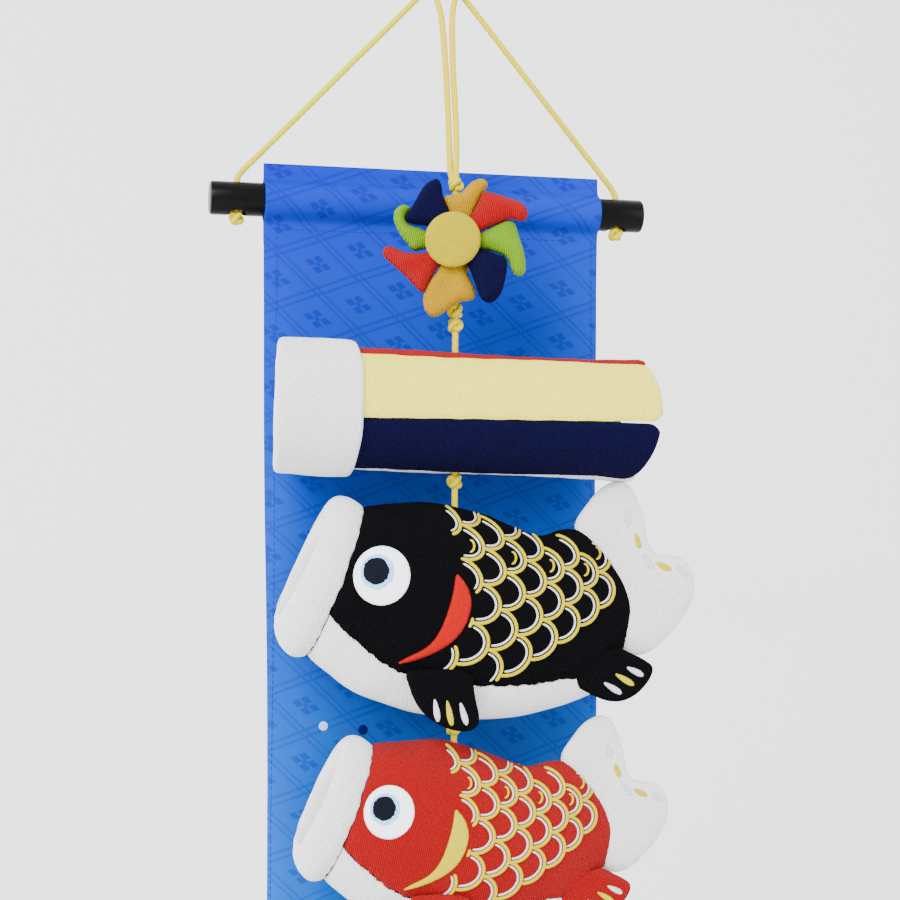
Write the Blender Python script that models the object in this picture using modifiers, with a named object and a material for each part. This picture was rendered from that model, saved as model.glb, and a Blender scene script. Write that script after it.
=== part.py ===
"""Carp streamer wall hanging: a cloth banner on two rods, with a cord of stuffed ornaments before it.

The frame is the hook that the hanging loops over: origin on the hook, +X along the rods,
+Y towards the wall, +Z up. Every size is in metres through MM.
"""

import math

import bmesh
import bpy
from mathutils import Matrix, Vector

MM = 0.001
GAP = 0.3 * MM  # clearance between pieces that touch on the real object

# Rods
ROD_RADIUS = 7.5 * MM
ROD_CHAMFER = 0.8 * MM
ROD_OFF_CENTRE = -4 * MM  # the rods hang a little to the left of the hook
ROD_BACK = 8 * MM  # how far the rods hang behind the hook
TOP_ROD_DROP = 104 * MM
BOTTOM_ROD_DROP = 545 * MM
HOLE_FROM_END = 12 * MM
COUNTERBORE_RADIUS = 4.8 * MM
COUNTERBORE_DEPTH = 2 * MM

# Banner
BANNER_WIDTH = 155 * MM
ROD_OVERHANG = 22.5 * MM  # how far each rod's length runs past half the banner's width
ROD_LENGTH = BANNER_WIDTH + 2 * ROD_OVERHANG
BANNER_OFF_ROD = 1.5 * MM
CLOTH = 0.8 * MM
HEADER_RISE = 9.3 * MM  # how far the header stands above the top rod
POCKET_HEM = 12 * MM  # how far the pocket's back layer runs past the rod
LAYER_GAP = 0.6 * MM

# Cords and their knots
CORD_RADIUS = 1.35 * MM
BORE_RADIUS = CORD_RADIUS + 1.3 * GAP
KNOT_RADIUS = 3.4 * MM
KNOT_HEIGHT = 6 * MM
CHAIN_FORWARD = 27 * MM  # how far the ornaments' cord hangs before the hook
TOP_KNOT_DROP = 100.4 * MM
CORD_TAIL = 6 * MM

# Pinwheel
PETALS = 8
PETAL_TIP = 31 * MM
PETAL_NOTCH = 24 * MM
PETAL_ROOT = 5 * MM
PETAL_THICKNESS = 11 * MM
PETAL_SWIRL = math.radians(26)
PINWHEEL_FACES = math.radians(-12)  # the pinwheel hangs turned to the left about its cord
BUTTON_RADIUS = 12 * MM
BUTTON_HEIGHT = 4 * MM
TOP_KNOT_TO_PINWHEEL = 26.6 * MM
PINWHEEL_TO_KNOT = 28.9 * MM

# Streamer tube
TUBE_RADIUS = 26.2 * MM
CUFF_PROUD = 3 * MM  # how far the cuff stands out from the tube
CUFF_RADIUS = TUBE_RADIUS + CUFF_PROUD
CUFF_WALL = 6.2 * MM
CUFF_LENGTH = 34.5 * MM
TUBE_WALL = 3.4 * MM
TUBE_LENGTH = 131.5 * MM
CUFF_TO_CORD = 79.5 * MM  # from the cuff's open end to the cord
STREAMER_DROOP = math.radians(1.4)
CORD_ABOVE_STREAMER = 9.1 * MM
STRIPES = ("red", "yellow", "navy", "white", "green")
FIRST_STRIPE_AT = math.radians(63)

# Carps: sizes are for the largest, and the others are the same pattern, smaller
CARPS = (("black_carp", 1.0), ("red_carp", 0.885), ("blue_carp", 0.77))
CARP_SCALE = 1.0 * MM
CARP_BELLY = 91.6
CORD_ABOVE_BLACK_CARP = 8.2 * MM
CORD_ABOVE_CARP = 3.6 * MM
RING_POINTS = 20

COLOURS = {
    "black": (0.012, 0.012, 0.014),
    "white": (0.86, 0.85, 0.83),
    "red": (0.78, 0.02, 0.03),
    "navy": (0.012, 0.01, 0.09),
    "green": (0.2, 0.58, 0.04),
    "orange": (0.95, 0.45, 0.02),
    "yellow": (0.9, 0.84, 0.35),
    "cord_yellow": (0.93, 0.7, 0.03),
    "azure": (0.02, 0.14, 0.75),
    "carp_blue": (0.02, 0.1, 0.55),
    "rod_black": (0.01, 0.01, 0.01),
}

# The side pattern of a carp in its own millimetres: x runs from mouth to tail, z is up, and
# the cord enters the back at (0, 0). Each section is its top, its foot and its half thickness.
BODY_SECTIONS = (
    ((-42, -0.3), (-66, -63), 21.5),
    ((-25, 1.2), (-48, -77.5), 25.5),
    ((-5, 0.8), (-20, -88), 27),
    ((15, -5), (8, -91.8), 26.5),
    ((33, -12.5), (32, -90.5), 22.5),
    ((46, -12.2), (52, -85), 16.5),
    ((57, -13), (67, -78), 11),
    ((68, -23), (76, -64), 7),
    ((75.5, -36), (78, -53), 3),
)
MOUTH_SECTIONS = (
    ((-42.5, -0.3), (-66.5, -63.3), 21.5),
    ((-48, 2.8), (-73.5, -64.6), 24.5),
    ((-54.6, 3.2), (-80, -57), 22.5),
    ((-58.5, -6), (-77.5, -48), 16),
    ((-50, -10), (-67, -48), 13),
)
BELLY_LINE = ((-75, -33), (-57.7, -43.3), (-42.6, -58), (-25, -70), (7, -77), (40, -77.3),
              (62, -73), (90, -62))
TAIL = ((51, -8), (59.5, 2.2), (67, 9.8), (75, 11.2), (80.4, 4), (84, -6), (87.5, -22),
        (94, -21.6), (101.7, -24.2), (105.7, -32), (105.2, -40.7), (100.8, -49.3),
        (86, -64.5), (70, -60), (60, -35))
TAIL_THICKNESS = 11
PECTORAL_FIN = ((-20.4, -70.5), (-19.1, -79.6), (-14.2, -89), (-5, -95.2), (2.7, -96.5),
                (8.4, -94.7), (10.2, -90.4), (9.3, -81.8), (7, -75), (-6, -71.5))
PECTORAL_OUT = 24
ANAL_FIN = ((48.4, -74), (59.5, -80.5), (66.2, -83.9), (73.7, -84.4), (80.4, -80.9),
            (85.2, -74.4), (85.2, -70.1), (70.6, -60.1))
ANAL_OUT = 9.6
FIN_THICKNESS = 3.6

# Routes of the two cords, chosen by hand, from the left knot over the hook to the right one
HANGING_ROUTE = (
    (-92, 8, -115.3), (-92, 8, -108), (-92, 8, -101), (-91.9, 8, -96), (-90.2, 7.9, -92.2),
    (-83, 7.3, -84.6), (-68, 6, -69), (-46, 4, -46), (-24, 2, -23), (-9, 0.6, -7.2),
    (-3.8, 0.1, -1.8), (0, 0, 0), (3.8, 0.1, -1.8), (9, 0.6, -7.6), (22, 2, -22.4),
    (42, 4, -45.5), (62, 6, -68.5), (76, 7.3, -84.6), (82.2, 7.9, -92), (83.9, 8, -96),
    (84, 8, -101), (84, 8, -108), (84, 8, -115.3),
)
DROP_ROUTE = (
    (-2.9, -25.6, -95.4), (-2.6, -23.6, -87), (-1.7, -18.6, -66), (-1.7, -13, -43),
    (-2.6, -7.7, -20), (-4.8, -4.9, -9.5), (-5.4, -3.7, -5), (-3.8, -3.4, -1.6), (0, -3.3, 0),
    (3.8, -3.4, -1.6), (5.4, -3.7, -5), (4.8, -4.9, -9.5), (2.6, -7.7, -20), (1.7, -13, -43),
    (1.7, -18.6, -66), (1, -23.8, -84), (0.2, -26.6, -94.5), (0, -27, -100.4),
)


# ---------------------------------------------------------------- helpers

def clear_scene():
    for item in list(bpy.data.objects):
        bpy.data.objects.remove(item)


def collection(name):
    made = bpy.data.collections.new(name)
    bpy.context.scene.collection.children.link(made)
    return made


def material(colour, roughness):
    """A material of that colour, made once and then shared."""
    name = f"{colour}_{round(roughness * 100)}"
    if name in bpy.data.materials:
        return bpy.data.materials[name]
    made = bpy.data.materials.new(name)
    made.use_nodes = True
    shader = made.node_tree.nodes["Principled BSDF"]
    shader.inputs["Base Color"].default_value = (*COLOURS[colour], 1)
    shader.inputs["Roughness"].default_value = roughness
    shader.inputs["Metallic"].default_value = 0
    return made


def add_object(name, data, colour, roughness=0.85):
    made = bpy.data.objects.new(name, data)
    PARTS.objects.link(made)
    data.materials.append(material(colour, roughness))
    return made


def mesh_from(bm, name):
    data = bpy.data.meshes.new(name)
    bm.to_mesh(data)
    bm.free()
    return data


def as_cutter(item):
    """Moves an object to the cutters, which are guides and not pieces."""
    for home in list(item.users_collection):
        home.objects.unlink(item)
    CUTTERS.objects.link(item)
    item.hide_render = True
    item.display_type = "WIRE"
    return item


def cut(item, cutter, operation="DIFFERENCE"):
    step = item.modifiers.new(f"cut_{cutter.name}", "BOOLEAN")
    step.operation = operation
    step.solver = "EXACT"
    step.object = cutter


def cylinder_mesh(name, radius, depth, sides=32):
    bm = bmesh.new()
    bmesh.ops.create_cone(bm, cap_ends=True, segments=sides, radius1=radius, radius2=radius,
                          depth=depth)
    return mesh_from(bm, name)


def bevel(item, width, segments=2):
    step = item.modifiers.new("rounded_edges", "BEVEL")
    step.width = width
    step.segments = segments
    step.limit_method = "ANGLE"
    step.angle_limit = math.radians(50)


def bore_cutter(name, place, radius, depth):
    """An upright round cutter with its middle at a place."""
    cutter = as_cutter(add_object(name, cylinder_mesh(name, radius, depth, 16), "white"))
    cutter.location = place
    return cutter


def smooth_route(points, step):
    """Points a step apart on a smooth curve through the route's own points."""
    route = [Vector(p) * MM for p in points]
    ends = [2 * route[0] - route[1], *route, 2 * route[-1] - route[-2]]
    smooth = []
    for before, a, b, after in zip(ends, ends[1:], ends[2:], ends[3:]):
        count = max(1, round((b - a).length / step))
        for i in range(count):
            t = i / count
            smooth.append(0.5 * (2 * a + (b - before) * t
                                 + (2 * before - 5 * a + 4 * b - after) * t ** 2
                                 + (3 * a - before - 3 * b + after) * t ** 3))
    return [*smooth, route[-1]]


def cord(name, points):
    """A plain tube that follows the points."""
    curve = bpy.data.curves.new(name, "CURVE")
    curve.dimensions = "3D"
    curve.bevel_depth = CORD_RADIUS
    curve.bevel_resolution = 2
    curve.use_fill_caps = True
    line = curve.splines.new("POLY")
    line.points.add(len(points) - 1)
    for spot, place in zip(line.points, points):
        spot.co = (*place, 1)
    return add_object(name, curve, "cord_yellow")


def knot(name, place):
    """A turned bead with a bore that the cord passes through."""
    half = KNOT_HEIGHT / 2
    waist = KNOT_RADIUS * 0.84
    profile = ((BORE_RADIUS, half * 0.86), (waist, half), (KNOT_RADIUS, half * 0.4),
               (KNOT_RADIUS, -half * 0.4), (waist, -half), (BORE_RADIUS, -half * 0.86))
    bm = bmesh.new()
    spots = [bm.verts.new((x, 0, z)) for x, z in profile]
    for i, spot in enumerate(spots):
        bm.edges.new((spot, spots[(i + 1) % len(spots)]))
    made = add_object(name, mesh_from(bm, name), "cord_yellow")
    made.location = place
    turn = made.modifiers.new("turned", "SCREW")
    turn.angle = math.tau
    turn.steps = 12
    turn.render_steps = 12
    turn.use_merge_vertices = True
    turn.merge_threshold = 0.00001
    return made


def ring_mesh(name, sections, scale, grow=0.0):
    """A loft through the sections, each an oval between its top and its foot."""
    bm = bmesh.new()
    rings = []
    for (top_x, top_z), (foot_x, foot_z), half_thickness in sections:
        middle = Vector(((top_x + foot_x) / 2, 0, (top_z + foot_z) / 2)) * scale
        up = Vector((top_x - foot_x, 0, top_z - foot_z)) * scale / 2
        up += up.normalized() * grow
        side = Vector((0, half_thickness * scale + grow, 0))
        angles = [math.tau * i / RING_POINTS for i in range(RING_POINTS)]
        rings.append([bm.verts.new(middle + up * math.cos(a) + side * math.sin(a))
                      for a in angles])
    for one, two in zip(rings, rings[1:]):
        for i in range(RING_POINTS):
            j = (i + 1) % RING_POINTS
            bm.faces.new((one[i], one[j], two[j], two[i]))
    bm.faces.new(rings[0])
    bm.faces.new(rings[-1])
    bmesh.ops.recalc_face_normals(bm, faces=bm.faces)
    return mesh_from(bm, name)


def outline_mesh(name, outline, scale):
    """One upright face that follows an outline of x and z."""
    bm = bmesh.new()
    bm.faces.new([bm.verts.new((x * scale, 0, z * scale)) for x, z in outline])
    return mesh_from(bm, name)


def thicken(item, thickness, offset=0.0):
    step = item.modifiers.new("thickness", "SOLIDIFY")
    step.thickness = thickness
    step.offset = offset
    step.use_even_offset = True


# ---------------------------------------------------------------- rods, banner, hanging cord

def make_rod(name, drop):
    rod = add_object(name, cylinder_mesh(name, ROD_RADIUS, ROD_LENGTH, 40), "rod_black", 0.35)
    rod.data.transform(Matrix.Rotation(math.pi / 2, 4, "Y"))
    rod.location = (ROD_OFF_CENTRE, ROD_BACK, -drop)
    bevel(rod, ROD_CHAMFER, 1)
    return rod


def make_rods():
    top_rod = make_rod("top_rod", TOP_ROD_DROP)
    make_rod("bottom_rod", BOTTOM_ROD_DROP)
    for side, word in ((-1, "left"), (1, "right")):
        x = ROD_OFF_CENTRE + side * (ROD_LENGTH / 2 - HOLE_FROM_END)
        foot = -TOP_ROD_DROP - ROD_RADIUS
        cut(top_rod, bore_cutter(f"{word}_hole", (x, ROD_BACK, -TOP_ROD_DROP), BORE_RADIUS,
                                 4 * ROD_RADIUS))
        cut(top_rod, bore_cutter(f"{word}_counterbore", (x, ROD_BACK, foot),
                                 COUNTERBORE_RADIUS, 2 * COUNTERBORE_DEPTH))
        seat = foot + COUNTERBORE_DEPTH - GAP
        knot(f"{word}_end_knot", (x, ROD_BACK, seat - KNOT_HEIGHT / 2))


def arc(drop, start, end, steps=14):
    """Points of the pocket round a rod; the angle runs from the top over the front."""
    radius = ROD_RADIUS + GAP + CLOTH / 2
    turns = [start + (end - start) * i / steps for i in range(steps + 1)]
    return [(ROD_BACK - radius * math.sin(a), -drop + radius * math.cos(a)) for a in turns]


def banner_path():
    """The banner's side view as y and z, from the back hem over the header to the lower hem."""
    front = ROD_BACK - (LAYER_GAP + CLOTH) / 2
    back = ROD_BACK + (LAYER_GAP + CLOTH) / 2
    lean = math.radians(25)
    rise = ROD_RADIUS + 1.5 * MM
    header = -TOP_ROD_DROP + ROD_RADIUS + HEADER_RISE - CLOTH / 2
    hem = -TOP_ROD_DROP - ROD_RADIUS - POCKET_HEM
    fold = (back - front) / 2
    path = [(back, hem), (back, -TOP_ROD_DROP - rise)]
    path += arc(TOP_ROD_DROP, -math.pi + lean, -lean)
    path += [(back, -TOP_ROD_DROP + rise), (back, header - fold)]
    path += [(ROD_BACK, header)]
    path += [(front, header - fold), (front, -TOP_ROD_DROP + rise)]
    path += arc(TOP_ROD_DROP, lean, math.pi - lean)
    path += [(front, -TOP_ROD_DROP - rise), (front, -BOTTOM_ROD_DROP + rise)]
    path += arc(BOTTOM_ROD_DROP, lean, math.tau - lean, 28)
    path += [(back, -BOTTOM_ROD_DROP + rise), (back, -BOTTOM_ROD_DROP + ROD_RADIUS + POCKET_HEM)]
    return path


def make_banner():
    middle = ROD_OFF_CENTRE + BANNER_OFF_ROD
    bm = bmesh.new()
    rows = [[bm.verts.new((middle + side * BANNER_WIDTH / 2, y, z)) for side in (-1, 1)]
            for y, z in banner_path()]
    for one, two in zip(rows, rows[1:]):
        bm.faces.new((one[0], one[1], two[1], two[0]))
    banner = add_object("banner", mesh_from(bm, "banner"), "azure")
    thicken(banner, CLOTH)


# ---------------------------------------------------------------- pinwheel

def hub_at(name, centre_z, turns):
    """An empty on the ornaments' cord that turns whatever is fixed to it."""
    hub = bpy.data.objects.new(name, None)
    PARTS.objects.link(hub)
    hub.location = (0, -CHAIN_FORWARD, centre_z)
    hub.rotation_euler = turns
    return hub


def make_pinwheel(centre_z):
    """Eight petals round the button, each between two curved edges an eighth apart."""
    hub = hub_at("pinwheel_axis", centre_z, (0, 0, PINWHEEL_FACES))
    back = -KNOT_RADIUS - 2 * GAP  # the back face of the petals, from the cord
    step = math.tau / PETALS
    radii = [PETAL_ROOT + (PETAL_TIP - PETAL_ROOT) * i / 4 for i in range(5)]
    notch = [*[r for r in radii if r < PETAL_NOTCH], PETAL_NOTCH]

    def spot(radius, share):
        """A point at a radius, on an edge a share of the way to the next petal's edge."""
        inset = (0.5 - share) * 1.4 * GAP / radius
        angle = share * step + PETAL_SWIRL * radius / PETAL_TIP + inset
        return radius * math.sin(angle), radius * math.cos(angle)

    outline = [spot(r, 0) for r in notch] + [spot(r, 1) for r in reversed(radii)]
    for i, colour in enumerate(("orange", "red", "green", "navy") * 2):
        name = f"petal_{i + 1}_{colour}"
        petal = add_object(name, outline_mesh(name, outline, 1), colour)
        petal.rotation_euler = (0, i * step - step, 0)
        petal.location = (0, back - PETAL_THICKNESS / 2, 0)
        petal.parent = hub
        thicken(petal, PETAL_THICKNESS)

    front = back - PETAL_THICKNESS - GAP
    button = add_object("front_button", cylinder_mesh("front_button", BUTTON_RADIUS,
                                                      BUTTON_HEIGHT), "cord_yellow")
    button.data.transform(Matrix.Rotation(math.pi / 2, 4, "X"))
    button.location = (0, front - BUTTON_HEIGHT / 2, 0)
    button.parent = hub
    bevel(button, BUTTON_HEIGHT * 0.3)

    depth = 2 * KNOT_RADIUS
    disc = add_object("back_button", cylinder_mesh("back_button", BUTTON_RADIUS, depth),
                      "orange")
    disc.data.transform(Matrix.Rotation(math.pi / 2, 4, "X"))
    disc.location = (0, back + GAP + depth / 2, 0)
    disc.parent = hub
    cut(disc, bore_cutter("pinwheel_bore", (0, -CHAIN_FORWARD, centre_z), BORE_RADIUS,
                          3 * BUTTON_RADIUS))


# ---------------------------------------------------------------- streamer

def band(name, radius, wall, x_start, x_end, colour, steps=40):
    """A round band about the X axis, thickened inwards."""
    bm = bmesh.new()
    turns = [math.tau * i / steps for i in range(steps)]
    rows = [[bm.verts.new((x, -radius * math.cos(a), radius * math.sin(a)))
             for x in (x_start, x_end)] for a in turns]
    for one, two in zip(rows, rows[1:] + rows[:1]):
        bm.faces.new((one[0], one[1], two[1], two[0]))
    made = add_object(name, mesh_from(bm, name), colour)
    thicken(made, wall, -1)
    return made


def stripe(name, start, sweep, x_start, x_end, colour, steps=8):
    """A curved strip of the tube: its end is an arc with a wall, thickened along X."""
    turns = [start + sweep * i / steps for i in range(steps + 1)]
    outer = [(TUBE_RADIUS, a) for a in turns]
    inner = [(TUBE_RADIUS - TUBE_WALL, a) for a in reversed(turns)]
    bm = bmesh.new()
    bm.faces.new([bm.verts.new((0, -r * math.cos(a), r * math.sin(a))) for r, a in outer + inner])
    data = mesh_from(bm, name)
    data.transform(Matrix.Translation(((x_start + x_end) / 2, 0, 0)))
    made = add_object(name, data, colour)
    thicken(made, x_end - x_start)
    return made


def make_streamer(centre_z):
    """A padded cuff and five stripes, turned a little so that the tails hang lower."""
    hub = hub_at("streamer_axis", centre_z, (0, STREAMER_DROOP, 0))
    bore = bore_cutter("streamer_bore", hub.location, BORE_RADIUS + MM * 0.4, 4 * CUFF_RADIUS)
    start = -CUFF_TO_CORD
    cuff = band("streamer_cuff", CUFF_RADIUS, CUFF_WALL, start, start + CUFF_LENGTH, "white")
    cuff.parent = hub
    step = math.tau / len(STRIPES)
    seam = 1.4 * GAP / TUBE_RADIUS
    for i, colour in enumerate(STRIPES):
        panel = stripe(f"stripe_{colour}", FIRST_STRIPE_AT - i * step + seam / 2, step - seam,
                       start + CUFF_LENGTH + GAP, start + CUFF_LENGTH + TUBE_LENGTH, colour)
        panel.parent = hub
        if colour in ("red", "white"):
            cut(panel, bore)


# ---------------------------------------------------------------- carps

def section_cutter(name, scale, grow):
    return as_cutter(add_object(name, ring_mesh(name, BODY_SECTIONS, scale, grow), "white"))


def belly_cutter(name, scale, lower):
    """A block that holds all of the carp under the belly line."""
    outline = [(x * scale, z * scale - lower) for x, z in BELLY_LINE]
    outline += [(120 * scale, -130 * scale), (-110 * scale, -130 * scale)]
    cutter = as_cutter(add_object(name, outline_mesh(name, outline, 1), "white"))
    thicken(cutter, 80 * scale)
    return cutter


def make_carp(name, share, entry_z, colour):
    """One carp: its coloured back, belly, mouth, tail and four fins, hung on its cord."""
    scale = share * CARP_SCALE
    place = Vector((0, -CHAIN_FORWARD, entry_z))
    grown = section_cutter(f"{name}_form", scale, 1.5 * GAP)
    above = belly_cutter(f"{name}_above_belly", scale, 0)
    below = belly_cutter(f"{name}_below_seam", scale, GAP)
    middle = place - Vector((0, 0, CARP_BELLY * scale / 2))
    bore = bore_cutter(f"{name}_bore", middle, BORE_RADIUS, 2 * CARP_BELLY * scale)
    for cutter in (grown, above, below):
        cutter.location = place

    back = add_object(f"{name}_body", ring_mesh(f"{name}_body", BODY_SECTIONS, scale), colour)
    cut(back, above)
    cut(back, bore)
    belly = add_object(f"{name}_belly", ring_mesh(f"{name}_belly", BODY_SECTIONS, scale),
                       "white")
    cut(belly, below, "INTERSECT")
    cut(belly, bore)
    mouth = add_object(f"{name}_mouth", ring_mesh(f"{name}_mouth", MOUTH_SECTIONS, scale),
                       "white")
    tail = add_object(f"{name}_tail", outline_mesh(f"{name}_tail", TAIL, scale), "white")
    thicken(tail, TAIL_THICKNESS * scale)
    cut(tail, grown)
    for piece in (back, belly, mouth, tail):
        piece.location = place
    for fin, outline, out in (("pectoral", PECTORAL_FIN, PECTORAL_OUT),
                              ("anal", ANAL_FIN, ANAL_OUT)):
        for side, word in ((-1, "front"), (1, "rear")):
            full = f"{name}_{word}_{fin}_fin"
            flap = add_object(full, outline_mesh(full, outline, scale), colour)
            flap.location = place + Vector((0, side * out * scale, 0))
            thicken(flap, FIN_THICKNESS * scale)
            cut(flap, grown)


# ---------------------------------------------------------------- the chain down the front

def make_chain():
    """Every ornament hangs from the place of the one above it, and the cord runs to the last."""
    half_knot = KNOT_HEIGHT / 2
    line = (0, -CHAIN_FORWARD)
    knot("top_knot", (*line, -TOP_KNOT_DROP))
    pinwheel_z = -TOP_KNOT_DROP - TOP_KNOT_TO_PINWHEEL
    make_pinwheel(pinwheel_z)
    under_pinwheel = pinwheel_z - PINWHEEL_TO_KNOT
    knot("pinwheel_knot", (*line, under_pinwheel))
    second = under_pinwheel - KNOT_HEIGHT - GAP
    knot("streamer_top_knot", (*line, second))
    streamer_z = second - half_knot - CORD_ABOVE_STREAMER - TUBE_RADIUS
    make_streamer(streamer_z)
    below = streamer_z - TUBE_RADIUS - 2 * GAP - half_knot
    knot("streamer_knot", (*line, below))
    entry = below - half_knot - CORD_ABOVE_BLACK_CARP
    for (name, share), colour in zip(CARPS, ("black", "red", "carp_blue")):
        make_carp(name, share, entry, colour)
        below = entry - CARP_BELLY * share * CARP_SCALE - GAP - half_knot
        knot(f"{name}_knot", (*line, below))
        entry = below - half_knot - CORD_ABOVE_CARP
    end = below - half_knot - CORD_TAIL
    step = 2.5 * 2 * CORD_RADIUS
    straight = [Vector((*line, end))]
    cord("drop_cord", smooth_route(DROP_ROUTE, step) + straight)
    print(f"pinwheel {pinwheel_z:.4f}, streamer {streamer_z:.4f}, cord's end {end:.4f}")


clear_scene()
PARTS = collection("carp_streamer")
CUTTERS = collection("cutters")
make_rods()
make_banner()
cord("hanging_cord", smooth_route(HANGING_ROUTE, 5 * CORD_RADIUS))
make_chain()
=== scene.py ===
# %% [markdown]
# # A carp streamer wall hanging, sewn and stuffed in Blender
# The hanging is cloth, cord, stuffing and two lacquered rods. The imported frame already says where
# every piece is and what it moves with, so this notebook only makes the looks. First it loads the
# frame; the boxes of its parts are read later, where a piece must fit its plain solid.

# %% The frame and its box
import math

import bmesh
import bpy
import numpy as np
from mathutils import Matrix, Vector
from mathutils.bvhtree import BVHTree
from mathutils.geometry import delaunay_2d_cdt


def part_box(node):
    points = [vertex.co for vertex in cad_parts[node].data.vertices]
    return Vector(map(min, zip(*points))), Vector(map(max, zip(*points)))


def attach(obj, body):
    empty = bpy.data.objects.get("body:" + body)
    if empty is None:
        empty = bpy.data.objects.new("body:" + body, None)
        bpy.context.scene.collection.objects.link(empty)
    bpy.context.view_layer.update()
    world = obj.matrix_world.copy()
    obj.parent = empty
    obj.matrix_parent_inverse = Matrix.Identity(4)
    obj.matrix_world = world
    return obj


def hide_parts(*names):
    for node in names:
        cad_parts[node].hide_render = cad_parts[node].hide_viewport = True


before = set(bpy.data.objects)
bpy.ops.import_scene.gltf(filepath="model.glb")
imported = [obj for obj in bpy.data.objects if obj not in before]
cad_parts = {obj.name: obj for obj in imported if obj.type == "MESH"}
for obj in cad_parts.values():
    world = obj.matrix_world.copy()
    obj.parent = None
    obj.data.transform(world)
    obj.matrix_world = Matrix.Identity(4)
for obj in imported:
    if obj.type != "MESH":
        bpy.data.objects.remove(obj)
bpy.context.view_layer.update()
MM = 0.001

# %% [markdown]
# ## The camera
# The hanging is looked at from a little to its left and from about its middle, tilted up a little,
# through a long lens that keeps the rod and the hems nearly parallel. A perspective camera on a
# plain rotation is all that this needs. The lens is given for the usual 36 mm sensor.

# %% The camera
camera = bpy.data.objects.new("camera", bpy.data.cameras.new("camera"))
bpy.context.collection.objects.link(camera)
camera.location = (-0.192, -0.871, -0.271)
camera.rotation_euler = (math.radians(93.6), math.radians(-0.2), math.radians(-12.69))
camera.data.lens = 79.9
camera.data.sensor_width = 36
bpy.context.scene.camera = camera
print("camera is", round(camera.location.length, 3), "m from the hook")

# %% [markdown]
# ## Helpers for meshes
# Most pieces here are grids of points bent into shape, so a few small helpers turn numpy arrays
# into smooth-shaded mesh objects. Each finished piece is hung on the body it rides on, and the
# plain solids it stands for are hidden.

# %% Making a piece
def mesh_object(name, points, faces, material):
    """A smooth-shaded object from points in metres."""
    data = bpy.data.meshes.new(name)
    data.from_pydata([tuple(p) for p in np.asarray(points, float)], [], faces)
    data.materials.append(material)
    data.shade_smooth()
    made = bpy.data.objects.new(name, data)
    bpy.context.collection.objects.link(made)
    return made


def outward(made):
    """Turns every face of a closed mesh outwards."""
    bm = bmesh.new()
    bm.from_mesh(made.data)
    bmesh.ops.recalc_face_normals(bm, faces=bm.faces)
    bm.to_mesh(made.data)
    bm.free()
    return made


def finish_piece(made, body, slot, *nodes):
    """Hangs the piece on the body it moves with and hides the plain solids it stands for; slot is
    not used.
    """
    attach(made, body)
    if nodes:
        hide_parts(*nodes)
    return made


print("pieces can be made")

# %% [markdown]
# A grid of points becomes faces by a simple rule, whether it is open, a tube or a ring. A smooth
# curve through a few chosen points (Catmull and Rom's) is used for outlines and routes, because it
# passes through the points themselves.

# %% Grids and lines
def grid_faces(rows, columns, round_rows=False, round_columns=False):
    """Quads over a grid of points, which may close on itself either way."""
    return [(i * columns + j, i * columns + (j + 1) % columns,
             (i + 1) % rows * columns + (j + 1) % columns, (i + 1) % rows * columns + j)
            for i in range(rows if round_rows else rows - 1)
            for j in range(columns if round_columns else columns - 1)]


def end_caps(rows, columns):
    """The two faces that close the ends of a tube of grid points."""
    last = (rows - 1) * columns
    return [tuple(range(columns))[::-1], tuple(last + j for j in range(columns))]


def smooth_through(points, per_span, closed=False):
    """A smooth curve through the points, with per_span steps from each one to the next."""
    points = np.asarray(points, float)
    if closed:
        ring = np.concatenate([points[-1:], points, points[:2]])
    else:
        ring = np.concatenate([2 * points[:1] - points[1:2], points,
                               2 * points[-1:] - points[-2:-1]])
    t = np.arange(per_span)[:, None] / per_span
    out = [0.5 * (2 * a + (b - before) * t + (2 * before - 5 * a + 4 * b - after) * t ** 2
                  + (3 * a - before - 3 * b + after) * t ** 3)
           for before, a, b, after in zip(ring, ring[1:], ring[2:], ring[3:])]
    return np.concatenate(out if closed else out + [points[-1:]])


def evenly(points, step):
    """The same line with its points a step apart."""
    along = np.concatenate([[0], np.cumsum(np.linalg.norm(np.diff(points, axis=0), axis=1))])
    at = np.linspace(0, along[-1], max(3, int(round(along[-1] / step)) + 1))
    return np.stack([np.interp(at, along, points[:, k]) for k in range(points.shape[1])], axis=1)


print("grids and lines can be drawn")

# %% [markdown]
# Sewn and stuffed pieces are never quite even. A sum of a few sine waves that bend each other gives
# a soft unevenness that is the same at every run.

# %% Unevenness
def ripple(points, size, seed=0.0):
    """Soft, repeatable unevenness between -1 and 1, with hollows about that size apart."""
    x, y, z = (np.asarray(points)[:, k] / size * math.tau for k in range(3))
    return (np.sin(x + 1.7 * np.sin(0.7 * z + seed))
            + np.sin(0.8 * z + 1.3 * np.sin(0.9 * x + seed))
            + np.sin(0.9 * (x + z) + 0.7 * y + 2.1 * seed)) / 3


print("ripple at three points", ripple(np.eye(3), 2.0).round(2))

# %% [markdown]
# ## Yarn and cloth as materials
# A material here is always a Principled shader with a little texture in its colour and its bump.
# A few small functions wire up the nodes, so that each finish can be written in a line or two. The
# coordinates are the object's own, so no texture mapping is needed.

# %% Building blocks of a material
def plain_material(name, colour, roughness, sheen=0.0, coat=0.0, gloss=0.05):
    made = bpy.data.materials.new(name)
    made.use_nodes = True
    shader = made.node_tree.nodes["Principled BSDF"]
    shader.inputs["Base Color"].default_value = (*colour, 1)
    shader.inputs["Roughness"].default_value = roughness
    shader.inputs["Sheen Weight"].default_value = sheen
    shader.inputs["Sheen Roughness"].default_value = 0.5
    shader.inputs["Coat Weight"].default_value = coat
    shader.inputs["Specular IOR Level"].default_value = gloss
    return made


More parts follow.
